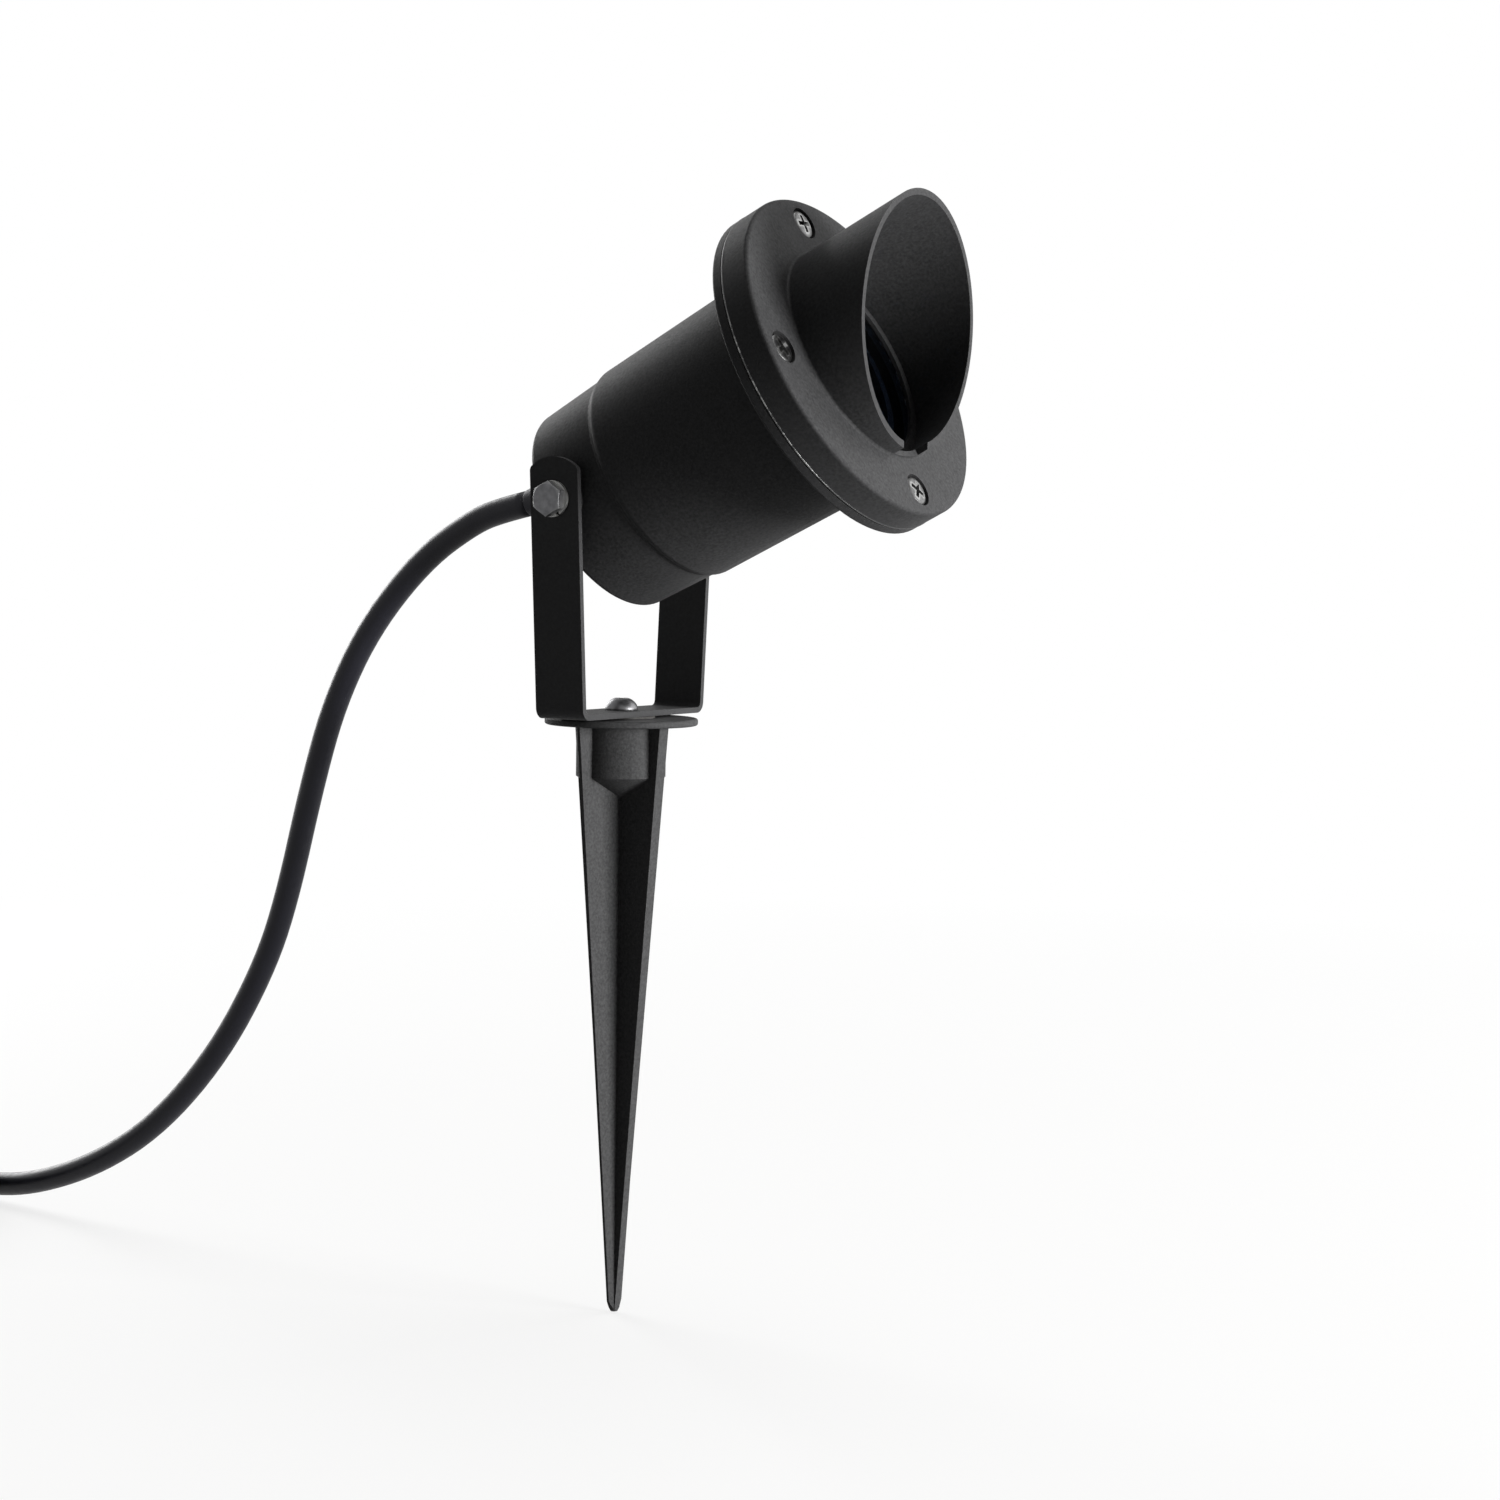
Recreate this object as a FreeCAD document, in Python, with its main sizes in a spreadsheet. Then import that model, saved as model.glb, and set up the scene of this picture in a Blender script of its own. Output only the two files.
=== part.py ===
"""Garden spike spotlight: a tilting lamp head in a U-bracket on a cast ground spike, with its mains lead.

Millimetres. The spike's tip is the origin, +Z runs up the spike and the lamp looks towards +X.
The lamp's own pieces are drawn in the lamp's frame (origin at the centre of the housing's rear face,
+X along the beam) and are tilted about the pivot as a whole.
"""

import FreeCAD, Part
import math
import os

import Sketcher
from FreeCAD import Placement, Rotation, Vector

DIMENSIONS = [
    ("spike_length", 159.0, "tip to the underside of the disc"),
    ("spike_fin_reach", 15.6, "thick fins, centre to edge, under the disc"),
    ("spike_fin_thickness", 3.4, "thick fins, and the roots of all fins"),
    ("spike_rib_reach", 16.5, "thin fins, centre to edge, under the disc"),
    ("spike_rib_edge", 0.95, "thin fins at their edges"),
    ("spike_tip_reach", 1.05, "the same four at the tip"),
    ("spike_tip_thickness", 1.9, ""),
    ("spike_tip_rib_reach", 2.2, ""),
    ("spike_tip_rib_edge", 0.8, ""),
    ("spike_nose_radius", 0.95, "blunt end"),
    ("spike_nose_wide", 2.5, "radius where the nose's taper begins"),
    ("spike_nose_height", 3.0, ""),
    ("spike_turn", -9.5, "fins off the bracket's axes, about +Z, degrees"),
    ("disc_radius", 20.5, "disc on top of the spike"),
    ("disc_thickness", 1.9, ""),
    ("disc_edge_round", 0.66, ""),
    ("boss_radius", 12.0, "screw boss under the disc"),
    ("boss_height", 13.8, ""),
    ("boss_cone", 5.9, "height of the boss's tapered underside"),
    ("base_screw_radius", 2.5, "M5 thread, nominal"),
    ("base_screw_length", 14.0, "under the head"),
    ("base_head_radius", 4.4, "pan head"),
    ("base_head_height", 3.2, ""),
    ("base_head_round", 1.76, "crown of the pan head"),
    ("thread_gap", 0.05, "screw in its tapped hole, on the radius"),
    ("running_gap", 0.08, "pivot or screw in the bracket's hole, on the radius"),
    ("washer_thickness", 0.5, "fibre washer between disc and bracket"),
    ("washer_radius", 9.0, ""),
    ("strip_width", 14.9, "bracket strip, along X"),
    ("strip_thickness", 1.5, ""),
    ("strip_bend", 3.0, "outer radius of the two bends"),
    ("base_half_width", 28.8, "centre to the outer face of a leg at its foot"),
    ("pivot_half_width", 32.4, "centre to the outer face of a leg at the pivot"),
    ("pivot_height", 57.2, "bracket's underside to the pivot"),
    ("leg_end_radius", 10.9, "rounded end of a leg, about the pivot"),
    ("leg_corner_round", 1.8, "where that end meets the strip's sides"),
    ("lamp_tilt", 27.0, "beam above the horizontal, degrees"),
    ("pivot_from_rear", 7.2, "pivot ahead of the rear face, along the beam"),
    ("pivot_below_axis", 0.8, "pivot under the lamp's axis"),
    ("rear_length", 21.6, "narrow rear part of the housing"),
    ("rear_radius", 28.6, "at the rear face"),
    ("rear_step_radius", 29.6, "where it meets the barrel"),
    ("rear_edge_round", 1.6, ""),
    ("barrel_radius", 30.5, "barrel at its rear edge"),
    ("barrel_front_radius", 31.9, "barrel at the flange"),
    ("barrel_edge_round", 2.4, ""),
    ("barrel_length", 55.0, ""),
    ("housing_wall", 2.4, ""),
    ("rear_wall", 3.0, ""),
    ("flange_radius", 45.0, "housing flange and bezel"),
    ("flange_thickness", 2.8, ""),
    ("seal_thickness", 0.4, "flat seal between flange and bezel"),
    ("seal_inset", 0.7, "seal inside the flange's rim"),
    ("bezel_thickness", 8.2, ""),
    ("bezel_edge_round", 1.0, ""),
    ("visor_radius", 29.1, "outside of the visor"),
    ("visor_wall", 1.5, ""),
    ("visor_length", 33.8, "at the top, ahead of the bezel's face"),
    ("visor_cut_angle", 27.5, "slope of the visor's mouth, degrees"),
    ("visor_slot_width", 12.4, "drain slot at the bottom of the visor"),
    ("visor_slot_floor", 0.8, "wall left under the drain slot"),
    ("visor_root_round", 0.8, "fillet between visor and bezel"),
    ("glass_radius", 30.0, ""),
    ("glass_thickness", 4.0, ""),
    ("glass_chamfer", 0.5, ""),
    ("glass_gap", 0.4, "round the glass in its seat"),
    ("lip_thickness", 1.0, "lip that holds the glass"),
    ("lip_overlap", 4.6, "lip over the glass's edge"),
    ("gasket_thickness", 1.5, "silicone ring behind the glass"),
    ("gasket_width", 2.6, ""),
    ("screw_edge", 7.0, "bezel screws inside the flange's rim"),
    ("screw_radius", 2.0, "M4 thread, nominal"),
    ("screw_length", 9.6, "under the head"),
    ("screw_hole_gap", 0.2, "round a bezel screw in bezel and seal, on the radius"),
    ("screw_head_radius", 3.75, ""),
    ("screw_head_height", 2.2, ""),
    ("screw_recess_radius", 4.4, ""),
    ("screw_recess_depth", 2.5, ""),
    ("cross_length", 3.8, "cross recess in a screw head"),
    ("cross_width", 0.9, ""),
    ("cross_depth", 1.3, ""),
    ("pivot_bolt_radius", 2.5, "M5 thread, nominal"),
    ("pivot_bolt_depth", 11.0, "thread inside the leg's inner face"),
    ("hex_flats", 8.0, "pivot bolt head across flats"),
    ("hex_height", 2.7, ""),
    ("spring_washer_radius", 4.7, ""),
    ("spring_washer_thickness", 0.9, ""),
    ("spring_washer_split", 0.9, ""),
    ("leg_gap", 0.35, "from a tilted leg to the washers on each side of it"),
    ("pad_washer_thickness", 1.0, "washer between leg and housing"),
    ("pad_washer_radius", 5.2, ""),
    ("pivot_boss_radius", 6.5, "boss on each side of the housing"),
    ("pivot_boss_depth", 7.5, "length of each boss, into the housing"),
    ("lamp_gap", 2.9, "reflector lamp behind the glass"),
    ("lamp_radius", 25.0, "GU10 reflector lamp"),
    ("lamp_length", 48.5, "without its pins"),
    ("lamp_rim", 9.0, "length of the lamp's full-width rim"),
    ("lamp_base_radius", 11.5, ""),
    ("lamp_base_length", 13.0, ""),
    ("lamp_cover_radius", 22.5, "clear cover in the lamp's front"),
    ("lamp_cover_thickness", 2.0, ""),
    ("cover_gap", 0.1, "round the cover in its seat"),
    ("lamp_pin_spacing", 10.0, "GU10 pins"),
    ("lamp_pin_radius", 1.5, ""),
    ("lamp_pin_head_radius", 2.5, ""),
    ("lamp_pin_length", 7.5, ""),
    ("lamp_pin_head_length", 2.4, ""),
    ("pin_gap", 0.25, "round a lamp pin in the holder"),
    ("holder_radius", 13.0, "lamp holder"),
    ("holder_length", 12.0, ""),
    ("bar_thickness", 1.0, "steel bar behind the holder"),
    ("bar_length", 40.0, ""),
    ("bar_width", 11.0, ""),
    ("post_spacing", 32.0, "posts that carry the bar"),
    ("post_radius", 3.4, ""),
    ("small_screw_radius", 1.5, "M3 thread, nominal"),
    ("small_screw_length", 7.0, ""),
    ("small_head_radius", 2.7, ""),
    ("small_head_height", 1.8, ""),
    ("block_length", 14.0, "terminal block"),
    ("block_width", 18.0, ""),
    ("block_height", 8.8, ""),
    ("block_pitch", 6.0, "from pole to pole"),
    ("block_pad_height", 24.0, "height of the pad that the block hangs from"),
    ("block_pad_width", 8.0, ""),
    ("block_pad_inset", 2.0, "pad shorter than the block at each end"),
    ("block_gap", 0.2, "block to its pad"),
    ("block_front_gap", 1.4, "block ahead of the step inside the housing"),
    ("terminal_screw_radius", 1.6, ""),
    ("terminal_screw_length", 5.0, ""),
    ("terminal_slot_depth", 0.8, ""),
    ("terminal_slot_width", 0.5, ""),
    ("core_radius", 1.1, "insulated core"),
    ("core_circle", 1.6, "circle of the three cores in the sheath"),
    ("core_start_gap", 0.15, "cores ahead of the sheath's end"),
    ("core_end_gap", 0.2, "cores short of the block and of the earth tag"),
    ("holder_lead_setback", 1.6, "lamp leads behind the lamp's rear face"),
    ("earth_post_drop", 17.0, "earth screw under the lamp's axis"),
    ("earth_post_height", 3.0, ""),
    ("earth_post_radius", 4.0, ""),
    ("earth_tag_radius", 3.6, ""),
    ("earth_tag_thickness", 0.8, ""),
    ("gland_rise", 10.1, "cable entry above the lamp's axis"),
    ("gland_thread_radius", 6.0, "M12 entry thread, nominal"),
    ("gland_flats", 16.0, "gland hexagon across flats"),
    ("gland_hex_height", 3.0, ""),
    ("gland_seal_thickness", 0.8, ""),
    ("locknut_flats", 15.0, ""),
    ("locknut_height", 3.4, ""),
    ("gland_thread_end", 0.6, "gland thread past its locknut"),
    ("boot_length", 16.6, "bend relief, along its middle"),
    ("boot_turn", 15.0, "how far the bend relief turns upwards, degrees"),
    ("boot_root_radius", 6.2, ""),
    ("boot_tip_radius", 4.15, ""),
    ("cable_radius", 3.5, "three-core rubber lead"),
    ("cable_gap", 0.06, "cable in its gland, on the radius"),
    ("inlet_length", 8.0, "cable inside the rear face"),
    ("coil_x", -269.0, "middle of the coil"),
    ("coil_y", -38.7, ""),
    ("coil_radius", 45.0, "first turn, middle of the cable"),
    ("coil_pitch", 7.7, "from turn to turn and from layer to layer"),
    ("coil_turns_in", 2.0, "turns of the lower layer"),
    ("coil_turns_out", 2.5, "turns of the upper layer"),
    ("tie_thickness", 0.8, "tie round the coil"),
    ("tie_width", 4.0, ""),
    ("tie_gap", 0.3, ""),
    ("tie_corner", 2.45, "rounding inside the band's corners"),
    ("plug_radius", 18.5, "plug face"),
    ("plug_face_length", 11.0, ""),
    ("plug_neck_radius", 9.5, ""),
    ("plug_length", 40.0, "without pins and bend relief"),
    ("plug_waist", 14.0, "length of the neck, where the body begins to widen"),
    ("plug_waist_radius", 11.7, ""),
    ("plug_shoulder", 4.0, "length of the rounding behind the face part"),
    ("plug_shoulder_radius", 16.9, ""),
    ("plug_edge", 1.0, "chamfers at both ends"),
    ("plug_pin_radius", 2.4, "round mains pins"),
    ("plug_pin_length", 19.0, ""),
    ("plug_pin_spacing", 19.0, ""),
    ("plug_boot_length", 28.0, ""),
    ("plug_boot_tip_radius", 4.7, ""),
    ("plug_boot_root_radius", 7.5, ""),
    ("plug_tilt", 5.9, "pins up, as the plug rests on its rim, degrees"),
    ("tail_straight", 9.0, "off the coil"),
    ("tail_into_plug", 8.0, "in line with the plug"),
    ("clip_width", 5.0, "earth clips on the plug's sides"),
    ("clip_thickness", 0.8, ""),
    ("clip_groove_depth", 1.4, ""),
    ("clip_groove_gap", 0.3, "on each side of a clip"),
    ("tool_over", 1.0, "how far a cutting tool stands out of what it cuts"),
]

# The lead's route by its corners, between its straight ends at the bend relief and at the coil.
LEAD_ROUTE = [
    Vector(-49.4, 0.0, 212.6),
    Vector(-66.6, 0.0, 202.2),
    Vector(-85.0, 0.0, 183.1),
    Vector(-97.4, 0.0, 161.8),
    Vector(-105.5, 0.0, 138.0),
    Vector(-115.1, 0.0, 102.3),
    Vector(-123.8, 0.0, 81.7),
    Vector(-140.2, 0.3, 56.5),
    Vector(-163.7, 1.0, 33.0),
    Vector(-188.6, 2.2, 18.1),
    Vector(-215.5, 4.0, 8.3),
]
LEAD_ENDS = (10.0, 22.0)  # straight off the bend relief, and straight into the coil
NECK_CORNERS = 3  # corners of the route that belong to the stretch that bends when the lamp tilts
# Corners of each core between its two ends, in the lamp's frame.
CORE_BENDS = {
    "live_core": [Vector(13.6, -1.6, 11.5), Vector(17.6, -5.8, 18.8)],
    "neutral_core": [Vector(13.6, 1.6, 11.5), Vector(17.6, 5.8, 18.8)],
    "earth_core": [Vector(11.4, 0, 7.9), Vector(12.0, 0, -3.5), Vector(10.8, 0, -11.0)],
}
FLAT_TURN = 90.0
SCREW_ANGLES = (90.0, 180.0, 270.0, 0.0)  # bezel screws round the beam
BOOT_SECTIONS = 5
SAME = 0.01  # lengths and places that differ by less are the same

os.makedirs("parts", exist_ok=True)
doc = FreeCAD.newDocument("garden_spike_spotlight")
sheet = doc.addObject("Spreadsheet::Sheet", "dims")
for row, (alias, value, note) in enumerate(DIMENSIONS, start=1):
    sheet.set(f"A{row}", alias)
    sheet.set(f"B{row}", str(value))
    sheet.set(f"C{row}", note)
    sheet.setAlias(f"B{row}", alias)
doc.recompute()

ALONG = {
    "X": Rotation(Vector(0, 1, 0), FLAT_TURN),
    "Y": Rotation(Vector(1, 0, 0), -FLAT_TURN),
    "Z": Rotation(),
}
nodes = []


def size(alias):
    """A driving dimension as a plain number."""
    return float(sheet.get(alias))


# Heights and stations that several pieces share, as expressions on the sheet.
DISC_TOP = "(dims.spike_length + dims.disc_thickness)"
BRACKET_UNDER = f"({DISC_TOP} + dims.washer_thickness)"
BRACKET_TOP = f"({BRACKET_UNDER} + dims.strip_thickness)"
PIVOT_Z = f"({BRACKET_UNDER} + dims.pivot_height)"
FLANGE_REAR = "(dims.rear_length + dims.barrel_length)"
FLANGE_FRONT = f"({FLANGE_REAR} + dims.flange_thickness)"
BEZEL_REAR = f"({FLANGE_FRONT} + dims.seal_thickness)"
BEZEL_FACE = f"({BEZEL_REAR} + dims.bezel_thickness)"
GASKET_REAR = f"({FLANGE_FRONT} - dims.gasket_thickness)"
GLASS_SEAT = "(dims.glass_radius + dims.glass_gap)"
GLASS_FRONT = f"({FLANGE_FRONT} + dims.glass_thickness)"
VISOR_BORE = "(dims.visor_radius - dims.visor_wall)"
LEG_INSIDE = "(dims.pivot_half_width - dims.strip_thickness)"
PAD_OUTSIDE = f"({LEG_INSIDE} - dims.leg_gap)"
BOSS_FACE = f"({PAD_OUTSIDE} - dims.pad_washer_thickness)"
SPRING_INSIDE = "(dims.pivot_half_width + dims.leg_gap)"
HEX_INSIDE = f"({SPRING_INSIDE} + dims.spring_washer_thickness)"
THREAD_END = f"({LEG_INSIDE} - dims.pivot_bolt_depth)"
LAMP_FRONT = f"({FLANGE_FRONT} - dims.lamp_gap)"
LAMP_REAR = f"({LAMP_FRONT} - dims.lamp_length)"
HOLDER_REAR = f"({LAMP_REAR} - dims.holder_length)"
BAR_REAR = f"({HOLDER_REAR} - dims.bar_thickness)"
BLOCK_REAR = "(dims.rear_length + dims.block_front_gap)"
BLOCK_TOP = "(dims.block_pad_height - dims.block_gap)"
BLOCK_UNDER = f"({BLOCK_TOP} - dims.block_height)"
EARTH_FACE = "(dims.rear_wall + dims.earth_post_height)"
GLAND_REAR = "(-dims.gland_seal_thickness - dims.gland_hex_height)"
PLUG_FRONT = "(dims.plug_boot_length + dims.plug_length)"
PLUG_SHOULDER = f"({PLUG_FRONT} - dims.plug_face_length)"


def place(obj, x="0", y="0", z="0"):
    """Ties an object's position to expressions."""
    for axis, expression in zip("xyz", (x, y, z)):
        obj.setExpression(f"Placement.Base.{axis}", expression)
    return obj


def cylinder(name, radius, height, x="0", y="0", z="0", axis="X"):
    obj = doc.addObject("Part::Cylinder", name)
    obj.Placement = Placement(Vector(), ALONG[axis])
    obj.setExpression("Radius", radius)
    obj.setExpression("Height", height)
    return place(obj, x, y, z)


def cone(name, radius_near, radius_far, height, x="0", y="0", z="0", axis="X"):
    obj = doc.addObject("Part::Cone", name)
    obj.Placement = Placement(Vector(), ALONG[axis])
    obj.setExpression("Radius1", radius_near)
    obj.setExpression("Radius2", radius_far)
    obj.setExpression("Height", height)
    return place(obj, x, y, z)


def prism(name, flats, height, x="0", y="0", z="0", axis="X"):
    """A hexagonal prism, given across its flats."""
    obj = doc.addObject("Part::Prism", name)
    obj.Polygon = 6
    obj.Placement = Placement(Vector(), ALONG[axis])
    obj.setExpression("Circumradius", f"{flats} / sqrt(3)")
    obj.setExpression("Height", height)
    return place(obj, x, y, z)


def box(name, low, lengths):
    """A box by its lowest corner and its three lengths, all expressions."""
    obj = doc.addObject("Part::Box", name)
    for prop, expression in zip(("Length", "Width", "Height"), lengths):
        obj.setExpression(prop, expression)
    return place(obj, *low)


def fuse(name, *parts):
    obj = doc.addObject("Part::MultiFuse", name)
    obj.Shapes = list(parts)
    obj.Refine = True
    return obj


def cut(name, base, *tools):
    obj = doc.addObject("Part::Cut", name)
    obj.Base = base
    obj.Tool = tools[0] if len(tools) == 1 else fuse(f"{name}_tools", *tools)
    obj.Refine = True
    return obj


def ring(name, outer, inner, height, x="0", y="0", z="0", axis="X"):
    """A flat ring with its hole through it."""
    disc = cylinder(f"{name}_disc", outer, height, x, y, z, axis)
    hole = cylinder(f"{name}_hole", inner, height, x, y, z, axis)
    return cut(name, disc, hole)


def group(name, parts):
    obj = doc.addObject("Part::Compound", name)
    obj.Links = parts
    return obj


def feature(name, shape):
    obj = doc.addObject("Part::Feature", name)
    obj.Shape = shape
    return obj


def node(obj, name):
    """Names a finished sub-part, which is written to a file of that name."""
    obj.Label = name
    nodes.append(obj)
    return obj


def on_lamp(obj, name):
    """Names a piece of the lamp head and tilts it about the pivot."""
    obj.Placement = Placement(Vector(), Rotation(Vector(0, -1, 0), 0))
    obj.setExpression("Placement.Rotation.Angle", "dims.lamp_tilt")
    cos, sin = "cos(dims.lamp_tilt)", "sin(dims.lamp_tilt)"
    ahead, below = "dims.pivot_from_rear", "dims.pivot_below_axis"
    place(
        obj,
        x=f"-({ahead} * {cos} + {below} * {sin})",
        z=f"{PIVOT_Z} - ({ahead} * {sin} - {below} * {cos})",
    )
    return node(obj, name)


def origin_plane(body, role):
    return next(f for f in body.Origin.OriginFeatures if f.Role == role)


def new_sketch(body, name, role):
    sketch = body.newObject("Sketcher::SketchObject", name)
    sketch.AttachmentSupport = [(origin_plane(body, role), "")]
    sketch.MapMode = "FlatFace"
    return sketch


def pin_point(sketch, geometry, point, x, y):
    """Holds one point of a sketch at a pair of expressions."""
    for kind, expression in (("DistanceX", x), ("DistanceY", y)):
        index = sketch.addConstraint(Sketcher.Constraint(kind, -1, 1, geometry, point, 1.0))
        sketch.setExpression(f"Constraints[{index}]", expression)


def polygon(sketch, corners):
    """A closed outline whose corners are pairs of expressions."""
    first = sketch.GeometryCount
    count = len(corners)
    turns = [2 * math.pi * i / count for i in range(count + 1)]
    rough = [Vector(math.cos(turn), math.sin(turn), 0) for turn in turns]
    for start, end in zip(rough, rough[1:]):
        sketch.addGeometry(Part.LineSegment(start, end), False)
    for i in range(count):
        after = first + (i + 1) % count
        sketch.addConstraint(Sketcher.Constraint("Coincident", first + i, 2, after, 1))
    for i, (x, y) in enumerate(corners):
        pin_point(sketch, first + i, 1, x, y)


def round_outline(sketch, x, y, radius):
    """A circle held by expressions."""
    index = sketch.addGeometry(Part.Circle(Vector(0, 0, 0), Vector(0, 0, 1), 1.0), False)
    pin_point(sketch, index, 3, x, y)
    held = sketch.addConstraint(Sketcher.Constraint("Radius", index, 1.0))
    sketch.setExpression(f"Constraints[{held}]", radius)


def turned_body(name, corners):
    """A body of revolution about X: its outline's corners are (station, radius)."""
    body = doc.addObject("PartDesign::Body", name)
    sketch = new_sketch(body, f"{name}_outline", "XY_Plane")
    polygon(sketch, corners)
    turned = body.newObject("PartDesign::Revolution", f"{name}_turned")
    turned.Profile = sketch
    turned.ReferenceAxis = (sketch, ["H_Axis"])
    turned.Angle = 360.0
    doc.recompute()
    return body


def circle_edges(shape, radius, station, axis="x"):
    """Names of the round edges with that radius, at that station along the axis."""
    found = []
    for i, edge in enumerate(shape.Edges, start=1):
        curve = edge.Curve
        if not isinstance(curve, Part.Circle):
            continue
        near = abs(curve.Radius - radius) < SAME
        if near and abs(getattr(curve.Center, axis) - station) < SAME:
            found.append(f"Edge{i}")
    return found


def round_edges(body, name, edges, radius):
    sharp = body.Tip
    fillet = body.newObject("PartDesign::Fillet", name)
    fillet.Base = (sharp, edges)
    fillet.setExpression("Radius", radius)
    body.Tip = fillet
    doc.recompute()
    return fillet


# ---- curves: biarcs, routes with rounded corners, tubes ----


def arc_from(start, tangent_end, end):
    """The arc from start to end whose two tangents meet at tangent_end."""
    middle = (start + end) * 0.5
    height = tangent_end - middle
    half = (end - start).Length / 2
    reach = (tangent_end - start).Length
    radius = half * reach / height.Length
    sagitta = radius - math.sqrt(radius**2 - half**2)
    top = middle + height * (sagitta / height.Length)
    return Part.Arc(start, top, end).toShape()


def biarc(start, along, end, onward):
    """Two tangent arcs between two points with unit directions."""
    span = end - start
    both = along + onward
    bend = 1 - along.dot(onward)
    reach = (math.sqrt(span.dot(both) ** 2 + 2 * bend * span.dot(span)) - span.dot(both)) / (2 * bend)
    corner_a = start + along * reach
    corner_b = end - onward * reach
    joint = (corner_a + corner_b) * 0.5
    return [arc_from(start, corner_a, joint), arc_from(joint, corner_b, end)]


def rounded_route(points):
    """Straight runs joined by arcs, each arc as large as its two runs allow. Returns edges and radii."""
    edges, radii = [], []
    here = points[0]
    for before, corner, after in zip(points, points[1:], points[2:]):
        back, forth = before - corner, after - corner
        half_turn = (math.pi - back.getAngle(forth)) / 2
        setback = 0.45 * min(back.Length, forth.Length)
        start = corner + back * (setback / back.Length)
        end = corner + forth * (setback / forth.Length)
        edges.append(Part.LineSegment(here, start).toShape())
        edges.append(arc_from(start, corner, end))
        radii.append(setback / math.tan(half_turn))
        here = end
    edges.append(Part.LineSegment(here, points[-1]).toShape())
    return edges, radii


def tube(edges, radius):
    """A solid round cord along edges that meet smoothly."""
    wire = Part.Wire(edges)
    first = edges[0]
    start = first.Vertexes[0].Point
    direction = first.tangentAt(first.FirstParameter)
    section = Part.Wire(Part.makeCircle(radius, start, direction))
    return wire.makePipeShell([section], True, False)


def length_of(edges):
    return sum(edge.Length for edge in edges)


def report_tube(name, shape, edges, radius, radii=()):
    expected = math.pi * radius**2 * length_of(edges)
    bends = ", ".join(f"{r:.0f}" for r in radii)
    print(f"{name}: length {length_of(edges):.1f}, volume {shape.Volume / expected:.4f} of section x length")
    if bends:
        print(f"{name}: arc radii {bends}")


def pivot_level():
    """The height of the pivot axis above the spike's tip."""
    return size("spike_length") + size("disc_thickness") + size("washer_thickness") + size("pivot_height")


def lamp_placement():
    """The lamp frame's place in the light, as a placement."""
    tilt = Rotation(Vector(0, -1, 0), size("lamp_tilt"))
    pivot = Vector(size("pivot_from_rear"), 0, -size("pivot_below_axis"))
    return Placement(Vector(0, 0, pivot_level()) - tilt.multVec(pivot), tilt)


def boot_middle():
    """The bend relief's middle line in the lamp's frame: start, centre of its arc, radius, turn."""
    start = Vector(-size("gland_seal_thickness") - size("gland_hex_height"), 0, size("gland_rise"))
    turn = math.radians(size("boot_turn"))
    radius = size("boot_length") / turn
    return start, start + Vector(0, 0, radius), radius, turn


def boot_station(share):
    """Point and direction on the bend relief's middle line, share 0 at the gland to 1 at its mouth."""
    _, centre, radius, turn = boot_middle()
    angle = turn * share
    point = centre + Vector(-math.sin(angle) * radius, 0, -math.cos(angle) * radius)
    return point, Vector(-math.cos(angle), 0, math.sin(angle))


# ---- spike ----


def fin_section(height, thick, thin):
    """The outline of two thick and two thin fins, crossed. Each pair is given as (reach, edge thickness)."""
    half = thick[1] / 2
    points = []
    for quarter, (reach, edge) in enumerate((thick, thin, thick, thin)):
        corner = [(reach, -edge / 2), (reach, edge / 2), (half, half)]
        turn = Rotation(Vector(0, 0, 1), 90 * quarter)
        points += [turn.multVec(Vector(x, y, 0)) + Vector(0, 0, height) for x, y in corner]
    return Part.makePolygon(points + [points[0]])


def make_spike():
    tip_thick = size("spike_tip_reach"), size("spike_tip_thickness")
    tip_thin = size("spike_tip_rib_reach"), size("spike_tip_rib_edge")
    top_thick = size("spike_fin_reach"), size("spike_fin_thickness")
    top_thin = size("spike_rib_reach"), size("spike_rib_edge")
    tip = fin_section(0, tip_thick, tip_thin)
    top = fin_section(size("spike_length"), top_thick, top_thin)
    fins = Part.makeLoft([tip, top], True, True)
    nose_height = size("spike_nose_height")
    nose = Part.makeCone(size("spike_nose_radius"), size("spike_nose_wide"), nose_height)
    above = Part.makeCylinder(2 * size("spike_rib_reach"), size("spike_length"), Vector(0, 0, nose_height))
    fins = fins.common(nose.fuse(above))
    fins.rotate(Vector(), Vector(0, 0, 1), size("spike_turn"))
    casting = feature("spike_fins", fins)
    disc = cylinder("spike_disc", "dims.disc_radius", "dims.disc_thickness", z="dims.spike_length", axis="Z")
    soft_disc = doc.addObject("Part::Fillet", "spike_disc_rounded")
    soft_disc.Base = disc
    doc.recompute()
    edges = [i for i, e in enumerate(disc.Shape.Edges, start=1) if isinstance(e.Curve, Part.Circle)]
    round_off = size("disc_edge_round")
    soft_disc.Edges = [(i, round_off, round_off) for i in edges]
    boss = cylinder(
        "spike_boss",
        "dims.boss_radius",
        "dims.boss_height",
        z="dims.spike_length - dims.boss_height",
        axis="Z",
    )
    taper = cone(
        "spike_boss_taper",
        "dims.spike_fin_thickness / 2",
        "dims.boss_radius",
        "dims.boss_cone",
        z="dims.spike_length - dims.boss_height - dims.boss_cone",
        axis="Z",
    )
    tapped = cylinder(
        "spike_tapped_hole",
        "dims.base_screw_radius + dims.thread_gap",
        "dims.base_screw_length + 2 * dims.tool_over",
        z=f"{BRACKET_TOP} - dims.base_screw_length - dims.tool_over",
        axis="Z",
    )
    whole = fuse("spike_casting", casting, soft_disc, boss, taper)
    node(cut("spike_cut", whole, tapped), "spike")


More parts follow.
